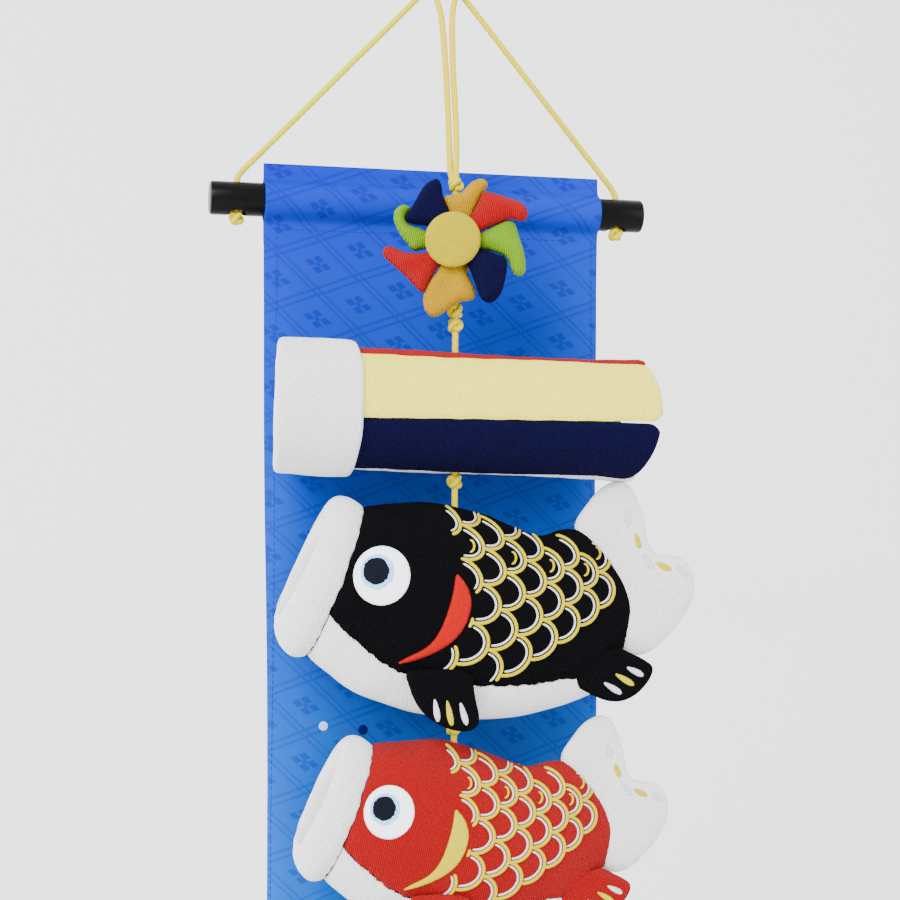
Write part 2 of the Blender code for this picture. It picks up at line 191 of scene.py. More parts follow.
def node(material, kind, **values):
    """A shader node with its inputs set; an input may be given another node's output."""
    made = material.node_tree.nodes.new(kind)
    for key, value in values.items():
        key = key.replace("_", " ")
        if key in made.inputs:
            if isinstance(value, bpy.types.NodeSocket):
                material.node_tree.links.new(value, made.inputs[key])
            else:
                made.inputs[key].default_value = value
        else:
            setattr(made, key.replace(" ", "_"), value)
    return made


def math_node(material, operation, *values):
    made = material.node_tree.nodes.new("ShaderNodeMath")
    made.operation = operation
    for socket, value in zip(made.inputs, values):
        if isinstance(value, bpy.types.NodeSocket):
            material.node_tree.links.new(value, socket)
        else:
            socket.default_value = value
    return made.outputs[0]


print("a principled shader and its nodes")

# %% [markdown]
# Bands and noise are the textures used. They are measured in metres on the real thing, so a rib
# keeps its size on every piece. In the crepe and the thread the same texture drives the colour and
# the bump, so a hollow is deeper and also painted darker: painted shade in the hollows.

# %% Texture and colour
def own_coordinates(material, turn=(0, 0, 0)):
    place = node(material, "ShaderNodeTexCoord")
    return node(material, "ShaderNodeMapping", Vector=place.outputs["Object"],
                Rotation=turn).outputs[0]


def bands(material, place, period, direction, distortion=0.0):
    """A wave texture whose bands are a period apart, in metres."""
    return node(material, "ShaderNodeTexWave", Vector=place, Scale=0.31416 / period,
                Distortion=distortion, Detail=1.0, Detail_Scale=1.5,
                bands_direction=direction).outputs["Fac"]


def mixed(material, share, one, two):
    """A colour between two, by a share from 0 to 1."""
    made = material.node_tree.nodes.new("ShaderNodeMix")
    made.data_type = "RGBA"
    for index, value in ((0, share), (6, one), (7, two)):
        if isinstance(value, bpy.types.NodeSocket):
            material.node_tree.links.new(value, made.inputs[index])
        else:
            made.inputs[index].default_value = value if index == 0 else (*value, 1)
    return made.outputs[2]


def set_bump(material, height, strength, distance):
    bump = node(material, "ShaderNodeBump", Height=height, Strength=strength, Distance=distance)
    shader = material.node_tree.nodes["Principled BSDF"]
    material.node_tree.links.new(bump.outputs[0], shader.inputs["Normal"])


def set_colour(material, socket):
    shader = material.node_tree.nodes["Principled BSDF"]
    material.node_tree.links.new(socket, shader.inputs["Base Color"])


print("textures, mixes and bumps")

# %% [markdown]
# The stuffed pieces are crepe: a dull knit whose fine ribs run nearly up and down, about five to
# every four millimetres. A wave texture makes the ribs, a second one across them and a fine noise
# break them into stitches, and all three drive a bump, so the grain is there from any side. The
# hollows between ribs are painted a darker mix of the colour, which is painted shade, and a soft
# cloud adds a little real unevenness of dye. Sheen stands for the fuzz of knitted cloth, and is
# kept low, because it would bleach the strong colours.

# %% A knitted crepe material
def noise(material, place, size, detail):
    """A noise texture whose clouds are about that size, in metres."""
    return node(material, "ShaderNodeTexNoise", Vector=place, Scale=1 / size,
                Detail=detail).outputs[0]


def crepe(name, colour, hollow_shade_and_tone, rib=0.8 * MM, turn=(0, math.radians(12), 0), strength=0.9,
          sheen=0.04):
    """Knitted crepe: ribs near Z, stitches across them, painted shade in hollows, uneven dye."""
    made = plain_material(name, colour, 0.95, sheen, gloss=sheen)
    place = own_coordinates(made, turn)
    ribs = bands(made, place, rib, "X", 1.2)
    stitches = bands(made, place, rib * 0.8, "Z", 2.2)
    fuzz = noise(made, place, 1.1 * MM, 3.0)
    cloud = noise(made, place, 14 * MM, 2.0)
    grain = math_node(made, "MULTIPLY_ADD", stitches, 0.45, ribs)
    grain = math_node(made, "MULTIPLY_ADD", fuzz, 0.9, grain)
    dye = math_node(made, "MULTIPLY_ADD", cloud, 0.2, -0.32)
    # Painted shade: where the grain is low, in the hollows, the colour is mixed towards the darker
    # one; the cloud is uneven dye.
    share = math_node(made, "MULTIPLY_ADD", grain, 0.75, dye)
    set_colour(made, mixed(made, share, hollow_shade_and_tone, colour))
    set_bump(made, grain, strength, 0.45 * MM)
    return made


WHITE = crepe("white_crepe", (0.96, 0.955, 0.95), (0.64, 0.64, 0.65), strength=1.0)
ORANGE = crepe("orange_crepe", (0.4, 0.235, 0.0001), (0.24, 0.1, 0.0001))
RED = crepe("red_crepe", (0.34, 0.0016, 0.0034), (0.13, 0.0004, 0.001))
GREEN = crepe("green_crepe", (0.15, 0.31, 0.0012), (0.045, 0.12, 0.0004))
NAVY = crepe("navy_crepe", (0.0042, 0.0034, 0.03), (0.0014, 0.001, 0.0085), sheen=0.008)
PALE_YELLOW = crepe("pale_yellow_crepe", (0.98, 0.88, 0.1), (0.72, 0.58, 0.035))
BUTTON_YELLOW = crepe("button_crepe", (0.46, 0.37, 0.0001), (0.28, 0.2, 0.0001), rib=0.75 * MM,
                      turn=(0, math.radians(40), 0))
BLACK = crepe("black_knit", (0.0042, 0.0042, 0.005), (0.001, 0.001, 0.0013), strength=1.0,
              sheen=0.004)
CARP_RED = crepe("carp_red_knit", (0.3, 0.0015, 0.003), (0.15, 0.0004, 0.001))
CARP_BLUE = crepe("carp_blue_knit", (0.0025, 0.022, 0.17), (0.0008, 0.008, 0.075))
print("crepe in", len(bpy.data.materials), "colours")

# %% [markdown]
# Embroidery thread and braided cord are smoother than crepe and catch the light along each strand.
# The strands themselves are geometry, so the material only adds the finest twist, whose grooves get
# a painted shade, a little uneven tone and a softer gloss. Metal thread is a bright yarn and not
# solid metal, so it keeps a high roughness.

# %% Thread, cord and lacquer
def thread(name, colour, hollow_shade_and_tone, roughness=0.55, metallic=0.0, twist=0.5 * MM):
    made = plain_material(name, colour, roughness, 0.015, gloss=0.06)
    made.node_tree.nodes["Principled BSDF"].inputs["Metallic"].default_value = metallic
    place = own_coordinates(made, (0, math.radians(35), math.radians(20)))
    strands = bands(made, place, twist, "X", 3.0)
    fleck = noise(made, place, 0.7 * MM, 2.0)
    # Painted shade: the grooves of the twist are mixed towards the darker colour; the fleck is
    # uneven tone.
    share = math_node(made, "MULTIPLY_ADD", strands, 0.35, fleck)
    set_colour(made, mixed(made, share, hollow_shade_and_tone, colour))
    set_bump(made, share, 0.5, 0.1 * MM)
    return made


CORD_YARN = thread("cord_yarn", (0.55, 0.46, 0.0008), (0.36, 0.27, 0.0003), 0.8)
GOLD = thread("gold_thread", (0.5, 0.41, 0.004), (0.26, 0.19, 0.0006), 0.6, 0.1)
SILVER = thread("silver_thread", (0.6, 0.6, 0.66), (0.25, 0.25, 0.3), 0.5, 0.1)
EYE_WHITE = thread("eye_white_thread", (0.88, 0.9, 0.92), (0.66, 0.7, 0.76), 0.8)
EYE_BLUE = thread("eye_blue_thread", (0.3, 0.52, 0.82), (0.18, 0.38, 0.7), 0.8)
PUPIL = thread("pupil_thread", (0.003, 0.0045, 0.009), (0.0008, 0.0012, 0.003), 0.8)
GILL_RED = thread("gill_thread", (0.34, 0.0016, 0.001), (0.15, 0.0004, 0.0003), 0.8)

LACQUER = plain_material("black_lacquer", (0.0006, 0.0006, 0.0008), 0.26, coat=0.03, gloss=0.06)
LACQUER.node_tree.nodes["Principled BSDF"].inputs["Coat Roughness"].default_value = 0.3
wood_grain = noise(LACQUER, own_coordinates(LACQUER), 3 * MM, 4.0)
set_bump(LACQUER, wood_grain, 0.12, 0.1 * MM)
print("threads and lacquer ready")

# %% [markdown]
# ## The cords come first
# A braided cord is a tube whose surface swells and dips along two crossing spirals. Its route is
# the one that the plain solid has, point for point, and the braid is modelled, so the light breaks
# on it as on the real cord. The ornaments' cord is doubled from the hook to the first knot: one
# length that goes up, loops over and comes down again.

# %% The cords' routes, in millimetres from the hook
CORD_RADIUS = 1.35 * MM
HANGING_ROUTE = (
    (-92, 8, -115.3), (-92, 8, -108), (-92, 8, -101), (-91.9, 8, -96), (-90.2, 7.9, -92.2),
    (-83, 7.3, -84.6), (-68, 6, -69), (-46, 4, -46), (-24, 2, -23), (-9, 0.6, -7.2),
    (-3.8, 0.1, -1.8), (0, 0, 0), (3.8, 0.1, -1.8), (9, 0.6, -7.6), (22, 2, -22.4),
    (42, 4, -45.5), (62, 6, -68.5), (76, 7.3, -84.6), (82.2, 7.9, -92), (83.9, 8, -96),
    (84, 8, -101), (84, 8, -108), (84, 8, -115.3),
)
DROP_ROUTE = (
    (-1.1, -26.6, -98.8), (-2, -24.8, -92), (-1.7, -18.6, -66), (-1.7, -13, -43),
    (-2.6, -7.7, -20), (-4.8, -4.9, -9.5), (-5.4, -3.7, -5), (-3.8, -3.4, -1.6), (0, -3.3, 0),
    (3.8, -3.4, -1.6), (5.4, -3.7, -5), (4.8, -4.9, -9.5), (2.6, -7.7, -20), (1.7, -13, -43),
    (1.7, -18.6, -66), (1, -23.8, -84), (0.2, -26.6, -94.5), (0, -27, -100.4),
)


drop_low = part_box("drop_cord")[0].z
print(len(HANGING_ROUTE), "and", len(DROP_ROUTE), "points, ending at", round(drop_low / MM), "mm")

# %% [markdown]
# To put a tube on a route, each point of the route needs two sideways directions. They are carried
# along from point to point and turned as little as they can be, so the braid doesn't wring.

# %% The braided tube
def frames_along(line):
    """Two sideways directions at each point of a line, turning as little as they can."""
    ahead = np.gradient(line, axis=0)
    ahead /= np.linalg.norm(ahead, axis=1)[:, None]
    side = np.cross(ahead[0], (0.3, 1, 0.2))
    sides = []
    for direction in ahead:
        side = side - direction * (side @ direction)
        side /= np.linalg.norm(side)
        sides.append(side)
    sides = np.array(sides)
    return sides, np.cross(ahead, sides)


def tube(line, radius, around, lobes, pitch, depth, closed=False):
    """The points and faces of a braided tube on a line: lobes strands that turn once a pitch."""
    one, two = frames_along(line)
    along = np.concatenate([[0], np.cumsum(np.linalg.norm(np.diff(line, axis=0), axis=1))])
    angle = np.arange(around) * math.tau / around
    turn = along[:, None] * math.tau / pitch
    swell = np.maximum(np.sin(lobes * angle + turn), np.sin(lobes * angle - turn))
    size = np.asarray(radius).reshape(-1, 1) * (1 + depth * swell)
    points = (line[:, None] + size[..., None] * (one[:, None] * np.cos(angle)[None, :, None]
                                                 + two[:, None] * np.sin(angle)[None, :, None]))
    faces = grid_faces(len(line), around, closed, True)
    if not closed:
        faces += end_caps(len(line), around)
    return points.reshape(-1, 3), faces


BRAID = (3, 3.2 * MM, 0.07)  # strands, the length of one turn, and how far they stand out


def braided_cord(name, line):
    points, faces = tube(line, CORD_RADIUS * 0.97, 16, *BRAID)
    return mesh_object(name, points, faces, CORD_YARN)


hanging_line = evenly(smooth_through(np.array(HANGING_ROUTE) * MM, 12), 0.5 * MM)
drop_points = smooth_through(np.array(DROP_ROUTE) * MM, 12)
drop_line = evenly(np.concatenate([drop_points, [[0, -27 * MM, drop_low]]]), 0.5 * MM)
hanging_cord = braided_cord("braided_hanging_cord", hanging_line)
drop_cord = braided_cord("braided_drop_cord", drop_line)
finish_piece(hanging_cord, "hanger", "cord_yellow", "hanging_cord")
finish_piece(drop_cord, "drop_chain", "cord_yellow", "drop_cord")
print("cords of", len(hanging_line) // 2, "and", len(drop_line) // 2, "mm")

# %% [markdown]
# A tied knot is a closed curve that winds over and under itself. A trefoil, pulled small, has just
# the three lumps that an overhand knot shows, so each knot is a fat trefoil tube of the same cord,
# turned a different way each time.

# %% The knots
def tied_knot(name, stand_in, body, turn):
    low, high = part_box(stand_in)
    middle, size = (low + high) / 2, high - low
    t = np.linspace(0, math.tau, 140, endpoint=False)
    lift = size.z / 2 - 1.2 * MM
    wide = (size.x / 2 - 1.0 * MM) / 3
    reach = (2 + np.cos(3 * t)) * wide
    line = np.stack([reach * np.cos(2 * t + turn), reach * np.sin(2 * t + turn),
                     np.sin(3 * t) * lift], axis=1)
    line += 0.12 * MM * ripple(line, 4 * MM, turn)[:, None]
    points, faces = tube(line + np.array(middle), 1.18 * MM, 12, *BRAID, closed=True)
    made = mesh_object(name, points, faces, CORD_YARN)
    return finish_piece(made, body, "cord_yellow", stand_in)


end_knots = [tied_knot(f"tied_{word}_knot", f"{word}_end_knot", "hanger", turn)
             for word, turn in (("left", 0.4), ("right", 1.3))]
CHAIN_KNOTS = ("top_knot", "pinwheel_knot", "streamer_top_knot", "streamer_knot",
               "black_carp_knot", "red_carp_knot", "blue_carp_knot")
chain_knots = [tied_knot(f"tied_{name}", name, "drop_chain", 0.9 * i)
               for i, name in enumerate(CHAIN_KNOTS)]


def length_of(line):
    return float(np.linalg.norm(np.diff(line, axis=0), axis=1).sum())


print(len(end_knots) + len(chain_knots), "knots")

# %% [markdown]
# ## The rods
# The rods are turned dowels under black lacquer. The plain solids are coarse round a rod, so finer
# ones take their place: ninety-six sides, a rounded edge at each end, and a countersunk hole near
# each end of the top rod for the cord.

# %% Cutting bores
def cylinder(radius, depth, centre):
    """A closed cylinder along Z, used as a cutter."""
    bm = bmesh.new()
    bmesh.ops.create_cone(bm, cap_ends=True, segments=48, radius1=radius, radius2=radius,
                          depth=depth)
    data = bpy.data.meshes.new("cutter")
    bm.to_mesh(data)
    bm.free()
    made = bpy.data.objects.new("cutter", data)
    made.location = centre
    bpy.context.collection.objects.link(made)
    return made


def apply_modifiers(made):
    """Puts what the modifiers make in the object's own mesh."""
    bpy.context.view_layer.update()
    seen = made.evaluated_get(bpy.context.evaluated_depsgraph_get())
    old = made.data
    made.modifiers.clear()
    made.data = bpy.data.meshes.new_from_object(seen)
    bpy.data.meshes.remove(old)
    return made


def cut_away(pieces, cutters, folded=False):
    """Cuts the cutters out of each piece, which may be folded on itself, and removes them."""
    for made in pieces:
        for cutter in cutters:
            cut = made.modifiers.new("bore", "BOOLEAN")
            cut.operation = "DIFFERENCE"
            cut.solver = "EXACT"
            cut.use_self = folded
            cut.object = cutter
        apply_modifiers(made)
    for cutter in cutters:
        bpy.data.objects.remove(cutter)


print("cutters ready")

# %% [markdown]
# Each rod is a profile turned round its axis: a flat end, a small rounded edge and the long
# straight side. Only the top one is bored, with a wider sink under each bore where the end knot
# sits.

# %% Two lacquered rods
ROD_EDGE = 1.1 * MM
ROD_SIDES = 96


def lacquered_rod(name, stand_in, bored):
    low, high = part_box(stand_in)
    middle, radius, half = (low + high) / 2, (high.z - low.z) / 2, (high.x - low.x) / 2
    edge = ROD_EDGE
    profile = [(half, 0), (half, radius - edge), (half - 0.3 * edge, radius - 0.3 * edge),
               (half - edge, radius)]
    inside = [(x, radius) for x in np.linspace(half - edge, edge - half, 12)[1:-1]]
    profile = profile + inside + [(-x, r) for x, r in reversed(profile)]
    around = np.arange(ROD_SIDES) * math.tau / ROD_SIDES
    points = [(middle.x + x, middle.y + r * math.sin(a), middle.z + r * math.cos(a))
              for x, r in profile[1:-1] for a in around]
    faces = grid_faces(len(profile) - 2, ROD_SIDES, False, True)
    faces += end_caps(len(profile) - 2, ROD_SIDES)
    made = mesh_object(name, points, faces, LACQUER)
    outward(made)
    if bored:
        cutters = []
        for x in (low.x + 12 * MM, high.x - 12 * MM):
            cutters.append(cylinder(1.9 * MM, 30 * MM, (x, middle.y, middle.z)))
            cutters.append(cylinder(4.8 * MM, 4 * MM, (x, middle.y, low.z)))
        cut_away([made], cutters)
    made.data.set_sharp_from_angle(angle=math.radians(32))
    return finish_piece(made, "hanger", "rod_black", stand_in)


top_rod = lacquered_rod("lacquered_top_rod", "top_rod", bored=True)
bottom_rod = lacquered_rod("lacquered_bottom_rod", "bottom_rod", bored=False)
print("rods with", len(top_rod.data.vertices), "and", len(bottom_rod.data.vertices), "points")

# %% [markdown]
# ## The banner
# The banner is one length of polyester damask. It is folded to a header above the top rod, sewn
# into a pocket round each rod, and between them it hangs nearly flat. Cloth this light never hangs
# quite flat, so the strip is given long soft waves, side edges that curl back a little, and a
# slight narrowing towards the foot. The damask's figure is woven, so it belongs to the material: a
# lattice of double lines with a small four-petalled flower in each lozenge. Its blue is lighter
# towards the foot, as the dye is.

# %% The damask
FIGURE_LINES, LINE_WIDTH = (0.07, 0.2), 0.034
FLOWER_MIDDLE, FLOWER_REACH, FLOWER_GAP, HEART_REACH = 0.635, 0.17, 0.028, 0.055
ONE_WAY, OTHER_WAY = (17.5, 18.5), (7, -19)  # the lattice's two directions, in millimetres


def damask():
    """Blue cloth with a woven tone-on-tone lattice, laid out on the object's X and Z."""
    made = plain_material("blue_damask", (0.001, 0.02, 0.3), 0.6, gloss=0.06)
    place = own_coordinates(made)
    parts = node(made, "ShaderNodeSeparateXYZ", Vector=place)
    x, z = parts.outputs["X"], parts.outputs["Z"]
    wander = noise(made, place, 25 * MM, 1.0)

    def cell(across, up):
        """How far along one lattice step the point lies, from 0 to 1."""
        value = math_node(made, "MULTIPLY_ADD", x, across, math_node(made, "MULTIPLY", z, up))
        value = math_node(made, "MULTIPLY_ADD", wander, 0.05, value)
        return math_node(made, "FRACT", value)

    span = -OTHER_WAY[1] * ONE_WAY[0] + ONE_WAY[1] * OTHER_WAY[0]
    one, two = (cell(across / span / MM, up / span / MM) for across, up in (ONE_WAY, OTHER_WAY))

    def away(value, centre):
        return math_node(made, "ABSOLUTE", math_node(made, "SUBTRACT", value, centre))

    def line(value, centre):
        """1 on a figure line and 0 away from it, with a soft edge."""
        share = math_node(made, "DIVIDE", away(value, centre), LINE_WIDTH)
        return math_node(made, "SUBTRACT", 1.0, math_node(made, "SMOOTH_MIN", 1.0, share, 0.3))

    lines = [line(value, centre) for value in (one, two) for centre in FIGURE_LINES]
    lattice = lines[0]
    for other in lines[1:]:
        lattice = math_node(made, "MAXIMUM", lattice, other)
    along, across = away(one, FLOWER_MIDDLE), away(two, FLOWER_MIDDLE)
    far = math_node(made, "MAXIMUM", along, across)
    near = math_node(made, "MINIMUM", along, across)
    square = math_node(made, "LESS_THAN", far, FLOWER_REACH)
    cross = math_node(made, "GREATER_THAN", near, FLOWER_GAP)
    flower = math_node(made, "MULTIPLY", square, cross)
    heart = math_node(made, "LESS_THAN", math_node(made, "ADD", along, across), HEART_REACH)
    figure = math_node(made, "MAXIMUM", lattice, math_node(made, "MAXIMUM", flower, heart))

    ramp = math_node(made, "MULTIPLY_ADD", z, 2.6, 1.15)
    ramp = math_node(made, "MULTIPLY_ADD", x, -0.8, ramp)
    share = node(made, "ShaderNodeClamp", Value=math_node(made, "SUBTRACT", 1.0, ramp)).outputs[0]
    ground = mixed(made, share, (0.0004, 0.0105, 0.31), (0.0008, 0.088, 0.38))
    raised = mixed(made, share, (0.0003, 0.006, 0.22), (0.0005, 0.056, 0.3))
    set_colour(made, mixed(made, figure, ground, raised))
    weft = bands(made, place, 0.36 * MM, "Z", 0.6)
    warp = bands(made, place, 0.42 * MM, "X", 0.6)
    weave = math_node(made, "MULTIPLY_ADD", figure, 0.7, math_node(made, "MULTIPLY", weft, warp))
    set_bump(made, weave, 0.35, 0.12 * MM)
    gloss = math_node(made, "MULTIPLY_ADD", figure, -0.14, 0.6)
    made.node_tree.links.new(gloss, made.node_tree.nodes["Principled BSDF"].inputs["Roughness"])
    return made


DAMASK = damask()
PRINT_GREY = plain_material("printed_pale_spot", (0.36, 0.48, 0.72), 0.7)
PRINT_BLUE = plain_material("printed_dark_spot", (0.0005, 0.003, 0.075), 0.7)
print("damask ready")

# %% [markdown]
# Seen from the side, the banner is one line: up from the back hem and round the rod to the header,
# then down the front and round the foot rod. It is measured from the boxes of the plain solids, so
# that each pocket fits its rod.

# %% The banner from the side
banner_low, banner_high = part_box("banner")
rod_low, rod_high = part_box("top_rod")
foot_rod_low, foot_rod_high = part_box("bottom_rod")
ROD_Y = (rod_low.y + rod_high.y) / 2
TOP_Z = (rod_low.z + rod_high.z) / 2
FOOT_Z = (foot_rod_low.z + foot_rod_high.z) / 2
ROD_RADIUS = (rod_high.z - rod_low.z) / 2
CLOTH = 0.55 * MM


def pocket(centre_z, start, end, steps=36):
    radius = ROD_RADIUS + 0.3 * MM + CLOTH / 2
    return [(ROD_Y - radius * math.sin(a), centre_z + radius * math.cos(a))
            for a in np.linspace(start, end, steps)]


def banner_side():
    """The cloth's side view as y and z, from the back hem over the header to the lower hem."""
    front, back = ROD_Y - 0.7 * MM, ROD_Y + 0.7 * MM
    lean, rise = math.radians(25), ROD_RADIUS + 1.8 * MM
    top = banner_high.z - CLOTH / 2
    side = [(back, TOP_Z - ROD_RADIUS - 12 * MM), (back, TOP_Z - rise)]
    side += pocket(TOP_Z, lean - math.pi, -lean)
    side += [(back, TOP_Z + rise), (back, top - 0.9 * MM), (ROD_Y + 0.4 * MM, top - 0.2 * MM),
             (ROD_Y - 0.4 * MM, top - 0.2 * MM), (front, top - 0.9 * MM), (front, TOP_Z + rise)]
    side += pocket(TOP_Z, lean, math.pi - lean)
    side += [(front, TOP_Z - rise), (front, FOOT_Z + rise)]
    side += pocket(FOOT_Z, lean, math.tau - lean, 72)
    side += [(back, FOOT_Z + rise), (back, FOOT_Z + ROD_RADIUS + 12 * MM)]
    return np.array(side)


side_line = evenly(banner_side(), 1.5 * MM)
print("banner is", round(length_of(side_line) / MM), "mm long from hem to hem")

# %% [markdown]
# The side view is now drawn out sideways into a strip. Between the rods the cloth gets its waves
# and its curled edges, which fade out towards both pockets, and a thickness makes it a solid sheet.

# %% The banner's strip
SHARES = np.concatenate([[-1, -0.988], np.linspace(-0.97, 0.97, 92), [0.988, 1]])
down = np.clip((TOP_Z - side_line[:, 1]) / (TOP_Z - FOOT_Z), 0, 1)[:, None]
half_width = (banner_high.x - banner_low.x) / 2
middle_x = (banner_high.x + banner_low.x) / 2
half = half_width - 2.6 * MM * np.clip(down * 1.7, 0, 1)
sway = 2.2 * MM * np.clip(down * 1.5, 0, 1) * np.sin(down * 2.4)
strip_x = middle_x + sway + SHARES[None, :] * half
strip_z = np.repeat(side_line[:, 1:], len(SHARES), axis=1)
strip_y = np.repeat(side_line[:, :1], len(SHARES), axis=1)
on_front = side_line[:, :1] < ROD_Y
wave = (1.1 * np.sin(SHARES[None, :] * 3.1 + 2.4 * down + 0.6)
        + 0.5 * np.sin(SHARES[None, :] * 7.3 - 5 * down)) * MM
curl = 2.6 * MM * np.abs(SHARES[None, :]) ** 14
curl = curl * (1 + 0.4 * np.sin(17 * down + 3 * SHARES[None, :]))
main = (side_line[:, 1:] < TOP_Z - ROD_RADIUS - 2 * MM) & on_front & \
    (side_line[:, 1:] > FOOT_Z + ROD_RADIUS + 2 * MM)
ease = np.clip(np.minimum(TOP_Z - ROD_RADIUS - side_line[:, 1:],
                          side_line[:, 1:] - FOOT_Z - ROD_RADIUS) / (30 * MM), 0, 1)
strip_y = strip_y + np.where(main, ease * (wave + curl), 0)
points = np.stack([strip_x, strip_y, strip_z], axis=2).reshape(-1, 3)
faces = grid_faces(len(side_line), len(SHARES))
banner = mesh_object("damask_banner", points, faces, DAMASK)
banner_front = BVHTree.FromPolygons([tuple(p) for p in points], faces)
thickness = banner.modifiers.new("cloth", "SOLIDIFY")
thickness.thickness = CLOTH
thickness.offset = 0
apply_modifiers(banner)
finish_piece(banner, "hanger", "banner_blue", "banner")
print("banner strip of", len(side_line), "by", len(SHARES), "points")

# %% [markdown]
# A row of stitches holds each pocket shut below the top rod and above the foot rod, and the side
# edges are turned in and stitched too. Each row is a run of short rounded bars laid on the cloth.
# The printed spots down the banner are thin discs laid on it.

# %% Stitches and hems
def cloth_front(x, z):
    """The point of the banner's front face at x and z, and its outward direction."""
    hit, normal, _, _ = banner_front.ray_cast(Vector((x, -0.1, z)), Vector((0, 1, 0)))
    if normal.y > 0:
        normal = -normal
    return hit - Vector((0, CLOTH / 2, 0)), normal


def stitch_row(name, places, material, body, slot, length=2.1 * MM, width=0.42 * MM):
    """Short rounded bars along a row of points with outward directions."""
    points, faces = [], []
    for (spot, normal), (following, _) in zip(places, places[1:]):
        ahead = (following - spot).normalized()
        over = ahead.cross(normal).normalized()
        base = len(points)
        for share in np.linspace(-0.5, 0.5, 5):
            bulge = math.sqrt(max(0.02, 1 - (2 * share) ** 2))
            for angle in np.arange(6) * math.tau / 6:
                points.append(spot + ahead * (share * length)
                              + over * (math.cos(angle) * width / 2 * bulge)
                              + normal * (0.06 * MM + math.sin(angle) * width * 0.3 * bulge))
        faces += [tuple(base + i for i in face)
                  for face in grid_faces(5, 6, False, True) + end_caps(5, 6)]
    made = mesh_object(name, points, faces, material)
    return finish_piece(made, body, slot)


STITCH = thread("banner_stitch", (0.0006, 0.02, 0.3), (0.0003, 0.01, 0.2), 0.8)
edge = half_width - 6 * MM
for name, height in (("pocket_stitches", TOP_Z - ROD_RADIUS - 5.5 * MM),
                     ("foot_stitches", FOOT_Z + ROD_RADIUS + 5.5 * MM)):
    row = [cloth_front(x, height) for x in np.arange(middle_x - edge, middle_x + edge, 2.9 * MM)]
    stitch_row(name, row, STITCH, "hanger", "banner_blue")
for word, sign in (("left", -1), ("right", 1)):
    row = [cloth_front(middle_x + sign * (edge + 1.5 * MM) + 1.5 * MM * (FOOT_Z < height), height)
           for height in np.arange(TOP_Z - 14 * MM, FOOT_Z + 16 * MM, -2.9 * MM)]
    stitch_row(f"{word}_hem_stitches", row, STITCH, "hanger", "banner_blue")
print("four rows of stitches")

# %% [markdown]
# A spot is printed on, so it follows the cloth under it and is only a tenth of a millimetre thick.
# Its points are dropped onto the banner's front face one by one.

# %% Printed spots
def printed_spot(name, x, z, radius, material):
    rings = []
    for share in (0.5, 0.93, 1.0):
        reach = radius * share
        for a in np.arange(24) * math.tau / 24:
            spot, normal = cloth_front(x + reach * math.cos(a), z + reach * math.sin(a))
            rings.append(spot + normal * (0.14 * MM if share < 1 else 0.0))
    points = [sum(rings[:24], Vector()) / 24] + rings
    faces = [(0, 1 + i, 1 + (i + 1) % 24) for i in range(24)]
    faces += [tuple(1 + i for i in face) for face in grid_faces(3, 24, False, True)]
    made = outward(mesh_object(name, points, faces, material))
    rim = made.modifiers.new("print", "SOLIDIFY")
    rim.thickness = 0.12 * MM
    rim.offset = 1
    apply_modifiers(made)
    return finish_piece(made, "hanger", "banner_blue")


SPOTS = ((-51.4, -337.4, 2.0, 0), (-33.5, -339.4, 2.1, 1), (10.2, -347.9, 1.6, 0),
         (38.5, -392, 1.8, 1), (-58, -421, 1.7, 0), (-24, -448, 2.0, 1), (52, -462, 1.9, 0),
         (-44, -497, 1.8, 0), (24, -503, 1.9, 1))
for i, (x, z, radius, dark) in enumerate(SPOTS):
    printed_spot(f"printed_spot_{i + 1}", x * MM, z * MM, radius * MM,
                 PRINT_BLUE if dark else PRINT_GREY)
print(len(SPOTS), "printed spots")

# %% [markdown]
# ## Stuffed pieces from flat patterns
# A petal, a fin or a tail is two layers of crepe sewn round a flat pattern, turned out and stuffed.
# Such a pad swells fast near its seam and slowly in its middle, as a half-round does. So the
# pattern is filled with fine points, and each one is lifted by how far it lies from the outline.
# The two layers meet at the seam, and a little unevenness keeps them from looking moulded.

# %% Filling an outline
def inside_outline(outline, spots):
    """Which of the spots lie inside the closed outline."""
    a, b = outline, np.roll(outline, -1, axis=0)
    result = np.zeros(len(spots), bool)
    for (ax, az), (bx, bz) in zip(a, b):
        crosses = (az > spots[:, 1]) != (bz > spots[:, 1])
        with np.errstate(divide="ignore", invalid="ignore"):
            at = ax + (spots[:, 1] - az) / (bz - az) * (bx - ax)
        result ^= crosses & (spots[:, 0] < at)
    return result


def distance_to(outline, spots):
    """How far each spot lies from the closed outline."""
    a, b = outline, np.roll(outline, -1, axis=0)
    along = b - a
    long = (along ** 2).sum(axis=1)
    best = np.full(len(spots), np.inf)
    for start, way, size in zip(a, along, long):
        share = np.clip(((spots - start) @ way) / max(size, 1e-12), 0, 1)
        best = np.minimum(best, np.linalg.norm(spots - start - share[:, None] * way, axis=1))
    return best


def filled(pattern, step, clear, close):
    """A closed pattern as a flat mesh of fine points: points, triangles and depths inside it."""
    outline = evenly(np.concatenate([pattern, pattern[:1]]), step)[:-1]
    low, high = outline.min(axis=0), outline.max(axis=0)
    spots = np.array([(x + (0.5 * step if row % 2 else 0), z)
                      for row, z in enumerate(np.arange(low[1], high[1], step * 0.866))
                      for x in np.arange(low[0], high[0], step)])
    spots = spots[inside_outline(outline, spots)]
    spots = spots[distance_to(outline, spots) > clear * step]
    count = len(outline)
    verts, _, faces, _, _, _ = delaunay_2d_cdt(
        [Vector(p) for p in np.concatenate([outline, spots])],
        [(i, (i + 1) % count) for i in range(count)], [], 1, close)
    flat = np.array([tuple(v) for v in verts])
    return flat, faces, distance_to(outline, flat)


